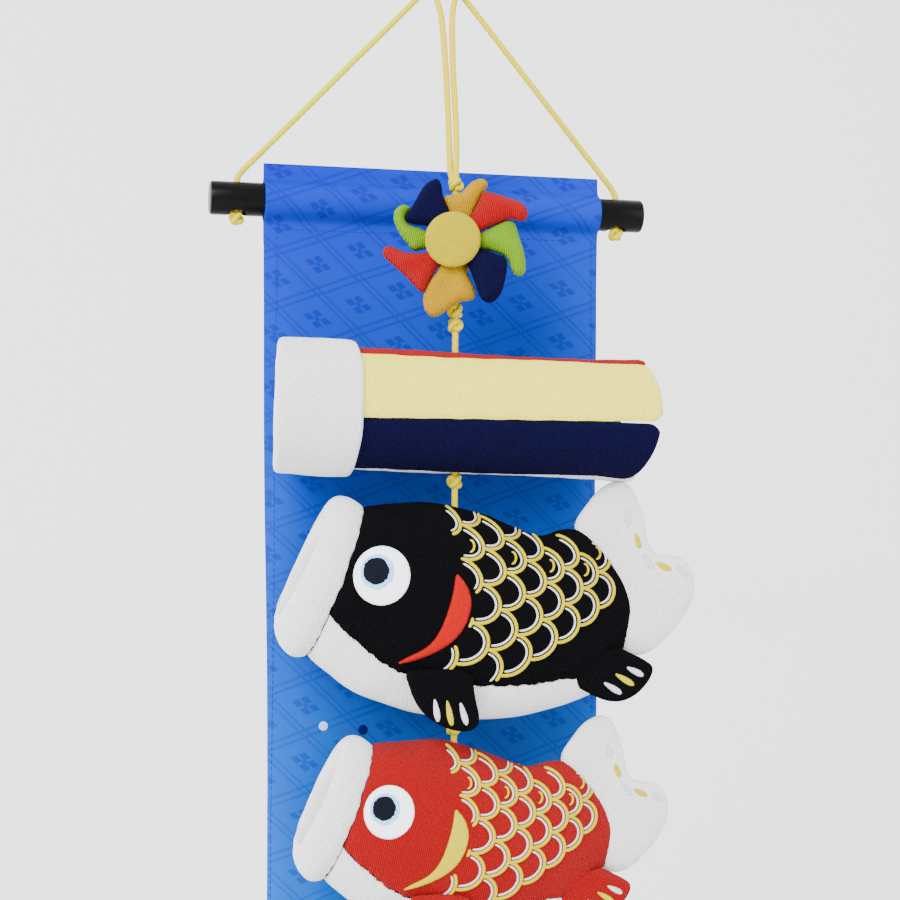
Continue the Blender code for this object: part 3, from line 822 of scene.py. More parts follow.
def two_layers(name, front, back, faces, rim, material):
    """A closed mesh of a front and a back layer that share the front's points at the rim."""
    index = [i if rim[i] else i + len(front) for i in range(len(front))]
    both = [tuple(f) for f in faces] + [tuple(index[i] for i in f[::-1]) for f in faces]
    points = list(front) + list(back)
    used = sorted({i for f in both for i in f})
    renumber = {old: new for new, old in enumerate(used)}
    return outward(mesh_object(name, [points[i] for i in used],
                               [tuple(renumber[i] for i in f) for f in both], material))


print("patterns can be filled")

# %% [markdown]
# A pad is two such filled outlines back to back. Near the seam both layers rise steeply, and past
# the reach of the seam they level out, like a cushion. A relief adds folds where a piece has them.

# %% Pads
SEAM = 0.35 * MM  # how thick each layer is at the seam


def pad(name, pattern, height, step, body, slot, material, node_name, reach, place,
        relief=None):
    """A stuffed pad in the X and Z plane; place moves its points to where the pad sits."""
    flat, faces, depth = filled(pattern, step, 0.55, 1e-9)
    share = np.clip(depth / reach, 0, 1)
    lift = SEAM + (height - SEAM) * np.sqrt(1 - (1 - share) ** 2)
    solid = np.column_stack([flat[:, 0], np.zeros(len(flat)), flat[:, 1]])
    shake = 0.5 * MM * ripple(solid, 13 * MM, seed=len(name)) * share
    lift_front = lift + shake + (relief(flat) * share if relief else 0)
    rim = depth < 1e-7
    front, back = solid.copy(), solid.copy()
    front[:, 1] -= np.where(rim, 0, lift_front)
    back[:, 1] += np.where(rim, 0, lift - shake)
    front, back = ([tuple(place(Vector(p))) for p in layer] for layer in (front, back))
    made = two_layers(name, front, back, faces, rim, material)
    finish_piece(made, body, slot, node_name)
    return made


print("pad maker ready")

# %% [markdown]
# ## The pinwheel
# Eight bent pads are sewn together at their roots, and a covered button hides where they meet.
# On a sewn pinwheel no two petals are alike: some tips hook forward, some lie flat, and the left
# green one has curled over. So each petal has a pattern of its own. The whole wheel hangs turned a
# little on its cord.

# %% The petals' patterns, in millimetres from the wheel's middle
wheel_low, wheel_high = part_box("front_button")
WHEEL_TURN = math.radians(-17)
wheel_z = (wheel_low.z + wheel_high.z) / 2
CHAIN_Y = -27 * MM
wheel_turn = Matrix.Translation((0, CHAIN_Y, wheel_z)) @ Matrix.Rotation(WHEEL_TURN, 4, "Z")

PETALS = (
    ("petal_1_orange", ORANGE, "crepe_orange", 4.6,
     ((4.5, 2.5), (7.5, 10), (10.1, 15.2), (12.4, 20.6), (14.4, 24), (14.2, 26.2), (12, 27.6),
      (8.6, 26.8), (6.2, 25), (3.5, 22), (1, 20.9), (-1.7, 20.7), (-4.2, 20), (-4, 17), (-1.8, 11),
      (-0.5, 3))),
    ("petal_2_red", RED, "crepe_red", 5.2,
     ((3, 4), (7, 10.7), (10.3, 16.5), (12.9, 21.4), (18, 20.6), (23.8, 18.5), (28.5, 16.9),
      (31.2, 14.4), (32, 11), (30.4, 8.6), (27.4, 8.6), (24.6, 9.4), (17.9, 7), (11.5, 4), (5, 0))),
    ("petal_3_green", GREEN, "crepe_green", 5.0,
     ((4, 1), (11.5, 4), (16.5, 6.6), (22, 9), (25.2, 9), (27, 6.4), (28.4, 1.4), (30.2, -4),
      (31, -9), (30.8, -13.2), (28.6, -15.2), (26, -14.2), (24.4, -11), (22.9, -7.5), (20, -5.6),
      (13.3, -3.4), (5, -3))),
    ("petal_4_navy", NAVY, "crepe_navy", 5.4,
     ((3, -2), (12.9, -3.4), (18, -5.5), (22.4, -7.4), (23, -12), (22.2, -17), (20.6, -22.6),
      (17.8, -26), (14.7, -26.8), (11.8, -24.8), (9.9, -20.2), (7, -12.5), (2, -5))),
    ("petal_5_orange", ORANGE, "crepe_orange", 4.6,
     ((-3, -4), (-6.9, -11.6), (-9.9, -15.7), (-12.3, -20), (-13.3, -24.6), (-12.7, -29),
      (-10.6, -32), (-8, -32.6), (-5, -31.2), (-0.8, -28.2), (2.9, -26.2), (7.2, -25.4),
      (9.4, -23.6), (8.8, -20), (6.9, -15.7), (4.7, -11), (2.5, -3))),
    ("petal_6_red", RED, "crepe_red", 5.0,
     ((-4, 0), (-11.7, -4.3), (-17.6, -4.8), (-22.2, -4.1), (-25.8, -2.4), (-29, -1.9),
      (-30.6, -3.6), (-30.2, -6.4), (-26.3, -10.2), (-22, -14), (-18, -18), (-14.8, -21.4),
      (-12.4, -21.6), (-9.6, -16), (-6.7, -10.8), (-2, -4))),
    ("petal_7_green", GREEN, "crepe_green", 5.2,
     ((-3, 3), (-11, 4.6), (-15.3, 6.6), (-19.6, 8), (-20.6, 11), (-18.8, 14.2), (-20.2, 16.2),
      (-23.2, 16.4), (-26, 13.6), (-26.1, 9.2), (-23.6, 3.8), (-20.2, -0.8), (-17.4, -3.6),
      (-11.7, -2.7), (-4, -2))),
    ("petal_8_navy", NAVY, "crepe_navy", 5.4,
     ((1, 4), (-1.3, 12.3), (-4.6, 19.4), (-5.4, 24.6), (-7, 27.2), (-9.4, 26.8), (-13.1, 24),
      (-16.9, 17.5), (-19.6, 13), (-21.3, 9.6), (-17, 7.6), (-9.9, 6.3), (-3, 1))),
)
print(len(PETALS), "patterns, wheel at", round(wheel_z / MM, 1), "mm")

# %% [markdown]
# The petals share one middle plane behind the button, alternately a little in front of it and
# behind, as sewn ones settle. Soft folds run out from the middle, where the cloth is gathered.

# %% The petals
DISC_FRONT, CLEARANCE, PETAL_DEPTH = 3.4 * MM, 0.6 * MM, 11 * MM
PETAL_REACH = 31 * MM


def petal_place(sink, tilt):
    """Puts a flat petal into the turned wheel, its middle a little behind the button."""
    middle = -(DISC_FRONT + CLEARANCE + PETAL_DEPTH / 2) + sink * MM

    def place(point):
        away = math.hypot(point.x, point.z) / PETAL_REACH
        return wheel_turn @ Vector((point.x, middle + point.y - tilt * MM * away ** 2, point.z))

    return place


def petal_ribs(flat):
    """Soft folds that run out from the middle of the wheel."""
    angle = np.arctan2(flat[:, 1], flat[:, 0])
    away = np.hypot(flat[:, 0], flat[:, 1]) / PETAL_REACH
    folds = 0.45 * MM * np.sin(angle * 9 + 2.3 * away)
    return folds - 0.5 * MM * np.exp(-((away - 0.42) / 0.12) ** 2)


for i, (stand_in, material, slot, height, pattern) in enumerate(PETALS):
    outline = smooth_through(np.array(pattern) * MM, 6, closed=True)
    place = petal_place(sink=(0.9, -0.6)[i % 2], tilt=(0.5, 1.2)[i % 2])
    pad("stuffed_" + stand_in, outline, height * MM, 0.8 * MM, "pinwheel", slot, material,
        stand_in, reach=5.2 * MM, place=place, relief=petal_ribs)
print("petals sewn")

# %% [markdown]
# A covered button is a disc with cloth drawn over it: a low dome, a soft edge and a flat back. It
# is turned from one profile, and only its cloth shows.

# %% The covered button
def covered_button(name, stand_in, radius, front, back, dome, material, slot):
    """A disc covered in cloth: a low dome with a soft edge, and its back drawn in."""
    profile = [(0.0, front - dome), (0.35, front - dome * 0.93), (0.6, front - dome * 0.72),
               (0.78, front - dome * 0.45), (0.9, front - dome * 0.12),
               (0.965, front + dome * 0.25), (1.0, front + dome * 0.8),
               (0.98, back - dome * 0.5), (0.9, back), (0.0, back + 0.1 * MM)]
    line = smooth_through(np.array([(r * radius, y) for r, y in profile]), 4)
    points = [(0, line[0][1], 0)]
    turns = np.arange(72) * math.tau / 72
    for r, y in line[1:-1]:
        for a in turns:
            points.append((r * math.cos(a), y, r * math.sin(a)))
    points.append((0, line[-1][1], 0))
    rings = len(line) - 2
    faces = [(0, 1 + j, 1 + (j + 1) % 72) for j in range(72)]
    faces += [tuple(1 + i for i in f) for f in grid_faces(rings, 72, False, True)]
    last = 1 + (rings - 1) * 72
    faces += [(len(points) - 1, last + (j + 1) % 72, last + j) for j in range(72)]
    points = [tuple(wheel_turn @ Vector(p)) for p in points]
    made = mesh_object(name, points, faces, material)
    outward(made)
    finish_piece(made, "pinwheel", slot, stand_in)
    return made


BUTTON_DEPTH, BUTTON_GAP, DOME = 4 * MM, 0.3 * MM, 1.6 * MM
front_y = -(DISC_FRONT + CLEARANCE + PETAL_DEPTH + BUTTON_GAP + BUTTON_DEPTH)
front_button = covered_button("covered_front_button", "front_button", 12 * MM, front_y + DOME,
                              front_y + BUTTON_DEPTH + 0.4 * MM, DOME, BUTTON_YELLOW,
                              "crepe_yellow")
print("button has", len(front_button.data.vertices), "points")

# %% [markdown]
# Behind the petals a second padded disc holds the wheel on its cord, which runs through it from top
# to bottom. It is the same covered button, thicker, with the cord's bore cut through.

# %% The disc behind the petals
back_disc = covered_button("padded_back_disc", "back_button", 11.9 * MM, -3.0 * MM, 2.8 * MM,
                           0.8 * MM, ORANGE, "crepe_orange")
cut_away([back_disc], [cylinder(1.75 * MM, 60 * MM, (0, CHAIN_Y, wheel_z))])
back_disc.data.set_sharp_from_angle(angle=math.radians(60))
print("back disc has", len(back_disc.data.polygons), "faces")

# %% [markdown]
# ## The streamer
# The streamer is a tube sewn from five stuffed stripes behind a thick white cuff. The cuff is a
# rolled band, so its section is a rounded block, a little slanted at the open end.

# %% The cuff
STREAMER_Z = -200.5 * MM
streamer_turn = (Matrix.Translation((0, CHAIN_Y, STREAMER_Z))
                 @ Matrix.Rotation(math.radians(1.4), 4, "Y"))
CUFF_START, CUFF_END, TUBE_END = -79.5 * MM, -45 * MM, 86.5 * MM
CUFF_OUT, TUBE_OUT, TUBE_IN = 29.2 * MM, 26.2 * MM, 22.8 * MM
CUFF_SIDES = 150


def make_cuff():
    section = [(-2.8, -4.4), (-2.5, -1.6), (-1.2, -0.35), (1.4, 0), (7, 0.15), (15, 0.3),
               (25, 0.25), (31.4, 0.1), (33.5, -0.5), (34.5, -2.4), (34.3, -4.4), (32.6, -6),
               (17, -6.3), (1, -6.2), (-1.9, -5.8)]
    line = smooth_through(np.array(section) * MM, 5, closed=True)
    points = []
    for a in np.arange(CUFF_SIDES) * math.tau / CUFF_SIDES:
        around = np.array([-math.cos(a), math.sin(a)])
        for x, r in line:
            radius = CUFF_OUT + r
            share = 1 - x / (CUFF_END - CUFF_START)
            slant = 3.4 * MM * (1 + around[0]) * share
            points.append((CUFF_START + x + slant, around[0] * radius, around[1] * radius))
    points = np.array(points)
    swell = 1 + 0.012 * ripple(points, 34 * MM, 1.0) + 0.004 * ripple(points, 9 * MM, 2.0)
    points[:, 1:] *= swell[:, None]
    points[:, 0] += 0.35 * MM * ripple(points, 21 * MM, 4.0)
    made = mesh_object("stuffed_cuff", [streamer_turn @ Vector(p) for p in points],
                       grid_faces(CUFF_SIDES, len(line), True, True), WHITE)
    return finish_piece(outward(made), "streamer", "crepe_white", "streamer_cuff")


make_cuff()
print("cuff made")

# %% [markdown]
# Each stripe is a long pillow bent round the tube: it is full in its middle and drawn in along its
# seams. The seams wind a little round the tube, because the sewn tube has twisted as it hangs. The
# last part of each stripe is free, and there the stripes end in rounded tails of their own, each a
# little longer, shorter or more slanted than the next. A stripe is measured by two shares: x runs
# along the tube, and share runs across the stripe from 0 at its upper seam to 1 at its lower one.

# %% How the stripes differ
STRIPES = (("red", RED, "crepe_red", 136, 68), ("yellow", PALE_YELLOW, "crepe_pale_yellow", 68, -9),
           ("navy", NAVY, "crepe_navy", -9, -85), ("white", WHITE, "crepe_white", -85, -152),
           ("green", GREEN, "crepe_green", -152, -224))
TAIL_FROM = 63 * MM
TUBE_TWIST = math.radians(4.5)


def stripe_shape(name, x, share):
    """How far out, and how far on round the tube, a stripe's cloth has moved at x."""
    loose = max(0.0, (x - TAIL_FROM) / (TUBE_END - TAIL_FROM))
    if name == "navy":
        return 1.0 * MM * loose * (0.3 + 0.7 * share), 0.02 * loose
    if name == "red":
        return 1.3 * MM * loose, 0.0
    if name == "yellow":
        return 0.9 * MM * loose, 0.012 * loose
    return 0.6 * MM * loose, 0.02 * loose


def stripe_end(name, share):
    """How much shorter than the tube a stripe's tail is, across its width from 0 to 1."""
    corner = 1 - (2 * share - 1) ** 2
    rounded = 5.5 * MM * (1 - math.sqrt(max(0.0, min(1.0, corner * 2.6))))
    if name == "navy":
        return rounded + 8 * MM * share ** 1.6 + 0.5 * MM
    if name == "yellow":
        return rounded + 2.8 * MM * (1 - share) ** 1.5
    if name == "red":
        return rounded + 1.5 * MM
    return rounded + 4 * MM


print("stripes are", [start - stop for *_, start, stop in STRIPES], "degrees wide")

# %% [markdown]
# Each stripe is a grid of points, rows along the tube and columns across the stripe, with an outer
# and an inner layer. At the free end both layers close into a rounded edge.

# %% The five stripes
def make_stripe(index, name, material, slot, start, stop):
    start = math.radians(start)
    width = start - math.radians(stop)
    shares = np.concatenate([[0, 0.008], np.linspace(0.03, 0.97, 36), [0.992, 1]])
    xs = np.concatenate([np.linspace(CUFF_END - 2 * MM, TAIL_FROM, 80),
                         np.linspace(TAIL_FROM, TUBE_END, 34)[1:]])
    outer, inner = [], []
    for x in xs:
        loose = max(0.0, (x - TAIL_FROM) / (TUBE_END - TAIL_FROM))
        open_seam = min(1.0, loose * 5)
        outer.append([])
        inner.append([])
        for share in shares:
            far = min(share, 1 - share) * width * TUBE_OUT
            groove = math.exp(-(far / (1.5 * MM)) ** 2) * (1.0 + 0.25 * open_seam) * MM
            inset = (0.5 - share) * (0.012 + 0.014 * open_seam)
            out, turn = stripe_shape(name, x, share)
            end = stripe_end(name, share)
            run = (x - CUFF_END) / (TUBE_END - CUFF_END)
            angle = start - share * width - inset - turn + TUBE_TWIST * (2 * run - 1)
            length_x = x
            if x >= TAIL_FROM:
                shorter = (TUBE_END - end - TAIL_FROM) / (TUBE_END - TAIL_FROM)
                length_x = TAIL_FROM + (x - TAIL_FROM) * shorter
            close = math.sqrt(max(0.0, 1 - max(0.0, (loose - 0.8) / 0.2) ** 2))
            radius = TUBE_OUT + out - groove + 0.25 * MM * math.sin(9 * run + 2 * index)
            mean = (TUBE_OUT + TUBE_IN) / 2 + out
            depth = TUBE_IN + 0.5 * groove - mean + out * 0.3
            for side, level in ((outer, mean + (radius - mean) * close),
                                (inner, mean + depth * close)):
                side[-1].append((length_x, -math.cos(angle) * level, math.sin(angle) * level))
    outer, inner = np.array(outer), np.array(inner)
    uneven = 0.3 * MM * ripple(outer.reshape(-1, 3), 16 * MM, index)
    outer += uneven.reshape(outer.shape[:2])[..., None] * np.array([0, 0.5, 0.6])
    rows, count = outer.shape[:2]
    points = np.concatenate([outer, inner[:, ::-1]], axis=1).reshape(-1, 3)
    faces = grid_faces(rows, 2 * count, False, True)
    faces += [face[::-1] for face in end_caps(rows, 2 * count)]
    made = mesh_object(f"stuffed_{name}_stripe", [streamer_turn @ Vector(p) for p in points],
                       faces, material)
    outward(made)
    finish_piece(made, "streamer", slot, f"stripe_{name}")
    return made


stripes = [make_stripe(i, *row) for i, row in enumerate(STRIPES)]
cut_away([stripes[0], stripes[3]], [cylinder(1.9 * MM, 80 * MM, (0, CHAIN_Y, STREAMER_Z))],
         folded=True)
print("stripes:", [len(made.data.vertices) for made in stripes])

# %% [markdown]
# ## The carps
# All three carps are sewn from one pattern in three sizes. The body is a stuffed sack whose side
# view and width are given by a few sections from mouth to tail: a point on its back, the point
# below it on its belly, and half its width there. The mouth is given in the same way. The tail,
# the fins and the gill are flat outlines.

# %% The carp's pattern, in millimetres from where its cord goes in
BODY = (
    ((-42, -0.2), (-66, -63), 22.5), ((-33, 1.0), (-56, -71.5), 24.8),
    ((-20, 1.4), (-41, -80.8), 26.4), ((-5, 0.8), (-20, -88.2), 27.2), ((10, -3), (2, -91.4), 27),
    ((24, -9), (22, -91.8), 24.8), ((36, -13.0), (38, -88.9), 21.6), ((47, -10.4), (54, -84.4), 17),
    ((56, -11.8), (64.5, -78.5), 12.4), ((65, -20.4), (71.5, -69), 8.6),
    ((72, -29.5), (75, -60), 5.8), ((76.6, -38), (77.6, -50.5), 3.4),
)
MOUTH = (
    ((-40.6, -1.6), (-64.6, -61.6), 21), ((-42.6, 0.6), (-67.2, -63.6), 22.9),
    ((-47.6, 3.6), (-72.8, -63.4), 24.6), ((-53, 3.9), (-77.6, -58.6), 23.6),
    ((-56.8, 1), (-80.2, -51.6), 20.6), ((-58.4, -5), (-79, -46.6), 17.2),
    ((-57, -9), (-75.5, -45.6), 15), ((-52, -11), (-69.5, -46.5), 13.6),
    ((-47, -13), (-64, -47), 12),
)
BELLY_SEAM = ((-80, -26), (-70, -35), (-57.7, -43.9), (-51.5, -50.2), (-42.6, -58), (-33.7, -65.3),
              (-24.9, -70.6), (-12, -74.5), (7.1, -77), (19.5, -77.6), (32.9, -77.4), (44, -76),
              (54, -75), (62, -73.5), (75, -68), (92, -60))
TAIL = ((55, -15), (53, -7.5), (59.5, 2.4), (64, 7.4), (69, 10.4), (73.6, 11.2), (77.4, 8.6),
        (80.4, 4), (83.4, -5), (85, -14), (87.6, -20), (92.4, -21.6), (98, -22.2), (102.4, -25),
        (105.5, -31), (105.6, -38), (103.6, -44.5), (99, -52), (93, -58.6), (87.4, -63.4),
        (80, -65.8), (73, -63), (70, -56), (72.5, -46), (70.5, -34), (63, -23))
PECTORAL = ((-20.6, -70), (-19.6, -77), (-16.8, -83.5), (-12.4, -88.6), (-6.4, -92.6), (0, -94.8),
            (5.6, -95), (9.2, -93), (10, -88.6), (8.6, -82), (7.8, -76), (7.2, -71.5), (0, -69.5),
            (-9, -69))
ANAL = ((48.4, -75), (53, -78.4), (59.5, -82), (66.2, -84.8), (73, -85), (79.4, -82),
        (84.6, -76.4), (86.4, -71), (83, -67.6), (77, -64.5), (70.6, -62.2), (60, -66), (52, -71))
GILL = ((0.4, -29.2), (3.6, -32.4), (6, -36.6), (6.9, -41.5), (6.2, -46.2), (4.2, -51.2),
        (0.4, -56.4), (-5.6, -60.8), (-13, -64.2), (-20, -66.2), (-26, -67), (-20, -63.6),
        (-14, -60.8), (-9.4, -57), (-6, -51.6), (-3.6, -45.6), (-1.6, -39), (-0.6, -33.6))
GILL_LINE = ((-68, -62, -55, -45, -36, -29, -20, 0), (-25, -4, 4.5, 8.4, 8, 2.5, -0.5, -5))
EYE = np.array([-31.9, -29.9])
print("body of", len(BODY), "sections, mouth of", len(MOUTH))

# %% [markdown]
# A flat pattern changes when it is stuffed, and its scales bend with the back. Every ring round the
# body is then split where the belly's seam crosses, so that the dark cloth and the white belly meet
# in one clean line.

# %% Rings round the body
ASIDE = 0.228  # how far patterns move along the body for each step out from its middle


def opened(points):
    """The pattern as it is when stuffed: a little longer and turned, most of all at its ends."""
    points = np.array(points, float)
    x = points[..., 0]
    points[..., 1] += 0.7 + x / 90
    points[..., 0] += 0.6 + x ** 2 / 4000
    return points


def scale_spot(row, column):
    """Where a scale's tip lies: the rows bend and close up towards the tail."""
    return np.array([10.05 + 3.52 * row + 7.48 * column + 1.71 * row * column - 1.52 * row ** 2
                     - 0.66 * column ** 2, -4.82 - 13.48 * row + 3.84 * column
                     + 0.43 * row * column - 0.5 * row ** 2 + 0.12 * column ** 2])


SCALE_ROWS = ((0, -1, 1), (1, 0, 3), (2, 0, 4), (3, 0, 6), (4, 0, 8), (5, 2, 8))
MARKED_SCALES = ((1, 0), (2, 2), (3, 4), (4, 6), (4, 7))
belly_line = opened(smooth_through(BELLY_SEAM, 6))


def sections(table, steps):
    """Rings' tops, feet and half widths, filled in smoothly between the given ones."""
    flat = smooth_through(np.array([(*opened(a), *opened(b), h) for a, b, h in table]), 8)
    along = np.concatenate([[0], np.cumsum(np.linalg.norm(np.diff(flat[:, :4], axis=0), axis=1))])
    at = np.linspace(0, along[-1], steps)
    return np.stack([np.interp(at, along, flat[:, k]) for k in range(5)], axis=1)


def seam_share(row):
    """The place of the belly seam on a ring's middle line, from 1 at its top to -1 at its foot."""
    top, foot = row[:2], row[2:4]
    shares = np.linspace(1, -1, 200)[:, None]
    spots = (top + foot) / 2 + shares * (top - foot) / 2
    seen = spots[:, 0] + ASIDE * row[4] * np.sqrt(1 - shares[:, 0] ** 2)
    above = spots[:, 1] > np.interp(seen, belly_line[:, 0], belly_line[:, 1])
    return float(np.clip(shares[above].min() if above.any() else 0.9, -0.955, 0.95))


def ring_points(row, angles, bulge=0.92):
    """A ring of points round one section; a lower bulge makes its sides fuller."""
    top, foot, width = row[:2], row[2:4], row[4]
    middle, up = (top + foot) / 2, (top - foot) / 2
    side = np.sign(np.sin(angles)) * np.abs(np.sin(angles)) ** bulge
    spots = middle + np.cos(angles)[:, None] * up
    return np.stack([spots[:, 0], -width * side, spots[:, 1]], axis=1)


print("belly seam at", [round(seam_share(row), 2) for row in sections(BODY, 5)], "of each ring")

# %% [markdown]
# Both cloths are drawn in along the seam, with small puckers beside it, and then get a thickness.
# The shell is hollow, so nothing solid is hidden inside it.

# %% Seams and shells
def draw_in(points, dips):
    """Moves grid points inwards, across the surface, by the given depths."""
    along = np.gradient(points, axis=0)
    across = np.gradient(points, axis=1)
    normal = np.cross(along, across)
    normal /= np.maximum(np.linalg.norm(normal, axis=2), 1e-9)[..., None]
    centre = points.mean(axis=1, keepdims=True)
    flip = np.sign(((points - centre) * normal).sum(axis=(1, 2)))
    return points - normal * flip[:, None, None] * dips[..., None]


SEAM_DEPTH, SEAM_REACH = 1.0, 1.7  # in millimetres of the pattern


def seam_dips(points):
    """How far cloth is drawn in by the seams along both sides of a grid and along its ends."""
    step = np.linalg.norm(np.diff(points, axis=1), axis=2)
    left = np.concatenate([np.zeros((len(points), 1)), np.cumsum(step, axis=1)], axis=1)
    near = np.minimum(left, left[:, -1:] - left)
    run = np.linalg.norm(np.diff(points[:, points.shape[1] // 2], axis=0), axis=1)
    down = np.concatenate([[0], np.cumsum(run)])
    wrinkle = np.sin(down * 1.35 + 2 * np.sin(down * 0.4))[:, None]
    dips = SEAM_DEPTH * np.exp(-near / SEAM_REACH) * (1 + 0.5 * wrinkle * np.exp(-near / 5))
    dips += 0.22 * wrinkle * np.exp(-near / 7)
    dips += SEAM_DEPTH * np.exp(-down / SEAM_REACH)[:, None]
    dips += 0.6 * SEAM_DEPTH * np.exp(-(down[-1] - down) / SEAM_REACH)[:, None]
    return dips


def shell(name, points, material, wall):
    """A cloth shell of a grid of points, closed by an inner face."""
    rows, columns = points.shape[:2]
    made = mesh_object(name, points.reshape(-1, 3), grid_faces(rows, columns), material)
    bm = bmesh.new()
    bm.from_mesh(made.data)
    bmesh.ops.recalc_face_normals(bm, faces=bm.faces)
    bm.faces.ensure_lookup_table()
    middle = Vector(points.reshape(-1, 3).mean(axis=0))
    outwards = sum((f.calc_center_median() - middle).dot(f.normal) for f in bm.faces)
    if outwards < 0:
        bmesh.ops.reverse_faces(bm, faces=bm.faces)
    bm.to_mesh(made.data)
    bm.free()
    cloth = made.modifiers.new("cloth", "SOLIDIFY")
    cloth.thickness = wall * MM
    cloth.offset = -1
    return apply_modifiers(made)


print("shells can be sewn")

# %% [markdown]
# ## Embroidery
# The embroidery is thread on top of the cloth, so it is modelled as thread on top of the cloth.
# Lines are fine corded tubes that follow the surface under them. Filled areas, such as the eye
# and the gill, are satin stitch: low cushions whose surface is ribbed by their threads. Both are
# found by sending a ray from the side onto the stuffed body.

# %% The surface under the thread
class Side:
    """One side of a stuffed piece, which lines and patches are laid on."""

    def __init__(self, piece, sign, scale, entry):
        self.tree = BVHTree.FromObject(piece, bpy.context.evaluated_depsgraph_get())
        self.sign, self.scale, self.entry = sign, scale, entry

    def spot(self, x, z):
        """The surface's point and outward direction at a pattern place, or None."""
        x, z = opened((x, z)) * self.scale * MM
        way = Vector((ASIDE, self.sign, 0))
        start = self.entry + Vector((x, 0, z)) - way * 0.2
        hit, normal, _, _ = self.tree.ray_cast(start, way.normalized())
        if hit is None:
            return None
        return hit, -normal if normal.y * self.sign > 0 else normal


print("a side can be found")

# %% [markdown]
# A line of thread is cut into runs where it would leave the cloth or turn to its far side. Each run
# is a thin corded tube whose ends taper, as a thread does where the needle takes it through.

# %% Lines of thread
def sewn_line(side, pattern, radius, points, faces, keep):
    """Adds a corded thread along the pattern line, where keep allows it, to a growing mesh."""
    runs, run = [], []
    for x, z in evenly(np.array(pattern, float), 0.55 / side.scale):
        found = side.spot(x, z) if keep(x, z) else None
        if found is None or abs(found[1].y) < 0.18:
            runs.append(run)
            run = []
        else:
            run.append(found[0] + found[1] * (0.12 * MM))
    runs.append(run)
    for run in runs:
        if len(run) < 5:
            continue
        line = np.array([tuple(p) for p in run])
        line[1:-1] = (line[:-2] + 2 * line[1:-1] + line[2:]) / 4
        sizes = np.full(len(line), radius * MM)
        sizes[[0, -1]] *= 0.45
        sizes[[1, -2]] *= 0.85
        made, quads = tube(line, sizes, 8, 2, 1.5 * MM, 0.1)
        base = len(points)
        points.extend(map(tuple, made))
        faces.extend(tuple(base + i for i in face) for face in quads)


print("lines can be sewn")

# %% [markdown]
# A satin patch is a filled outline laid on the body. Its top is raised and ribbed by the threads,
# and its back is sunk into the cloth, so no gap shows at its edge.

# %% Patches of satin stitch
def satin(name, side, outline, height, step, material, body, threads=(1.0, 0.0), pitch=0.75,
          reach=1.6, level=0.0, middle=None):
    """A cushion of satin stitch over an outline; its threads run one way or out from a middle."""
    flat, tris, far = filled(outline, step, 0.6, 1e-7)
    rim = far < 1e-5
    rise = level + height * np.sqrt(1 - (1 - np.clip(far / reach, 0, 1)) ** 2)
    across = flat @ np.array([-threads[1], threads[0]])
    if middle is not None:
        angle = np.arctan2(flat[:, 1] - middle[1], flat[:, 0] - middle[0])
        across = angle * 60 * pitch / math.tau
    rise += 0.12 * np.sin(across * math.tau / pitch) * np.clip(far / 0.4, 0, 1)
    front, back = [], []
    for (x, z), up, on_rim in zip(flat, rise, rim):
        found = side.spot(x, z)
        if found is None:
            return None
        spot, normal = found
        front.append(spot + normal * ((-0.1 if on_rim else up) * MM))
        back.append(spot - normal * (0.35 * MM))
    return finish_piece(two_layers(name, front, back, tris, rim, material), body, None)


def disc(middle, radius, count=64):
    a = np.arange(count) * math.tau / count
    return np.array(middle) + radius * np.stack([np.cos(a), np.sin(a)], axis=1)


def drop_shape(start, end, width=1.75):
    """A teardrop from its point to its round end."""
    start, end = np.array(start), np.array(end)
    way = (end - start) / np.linalg.norm(end - start)
    over = np.array([-way[1], way[0]])
    length = np.linalg.norm(end - start)
    turns = np.arange(40) * math.tau / 40
    along = (1 - np.cos(turns)) / 2
    half = width * np.sin(turns) * (0.55 + 0.5 * along)
    return start + along[:, None] * way * length + half[:, None] * over


print("patches can be sewn")

# %% [markdown]
# ## Sewing the carps
# A carp is sewn in the order of a real one. Body and belly come first, as two shells over the same
# rings. The mouth is a white rolled band with a hollow in it, gathered where it meets the head.

# %% Body, belly and mouth
def unevenness(grid, depth, size, seed):
    return depth * ripple(grid.reshape(-1, 3), size, seed).reshape(grid.shape[:2])


def sew_body(carp, scale, entry, cloth, slot):
    """The dark back and the white belly; gives the back, which the embroidery lies on."""
    rings = sections(BODY, 120)
    splits = np.arccos(np.array([seam_share(row) for row in rings]))
    halves = (
        ("dark_cloth", "body", cloth, slot,
         [np.linspace(-split, split, 90) for split in splits]),
        ("belly_cloth", "belly", WHITE, "crepe_white",
         [np.linspace(split, math.tau - split, 60) for split in splits]),
    )
    sewn = []
    for word, stand_in, material, half_slot, angles in halves:
        grid = np.array([ring_points(row, turn) for row, turn in zip(rings, angles)])
        grid = draw_in(grid, seam_dips(grid) + unevenness(grid, 0.45, 31, scale * 7))
        made = shell(f"{carp}_{word}", grid * (scale * MM) + np.array(entry), material, 0.9 * scale)
        finish_piece(made, carp, half_slot, f"{carp}_{stand_in}")
        sewn.append(made)
    return sewn[0]


def sew_mouth(carp, scale, entry):
    band = sections(MOUTH, 64)
    angles = np.linspace(0, math.tau, 121)[:-1]
    lip = np.array([ring_points(row, angles, 1.0) for row in band])
    run = np.linspace(0, 1, len(band))[:, None]
    crease = 0.8 * np.exp(-(run / 0.04) ** 2)
    crease = crease + 0.25 * np.sin(angles * 26) * np.exp(-(run / 0.16) ** 2)
    lip = draw_in(lip, crease + unevenness(lip, 0.5, 24, scale * 5))
    points = lip.reshape(-1, 3) * (scale * MM) + np.array(entry)
    faces = grid_faces(len(band), 120, False, True) + end_caps(len(band), 120)
    mouth = outward(mesh_object(f"{carp}_mouth_band", points, faces, WHITE))
    finish_piece(mouth, carp, "crepe_white", f"{carp}_mouth")


print("bodies and mouths can be sewn")

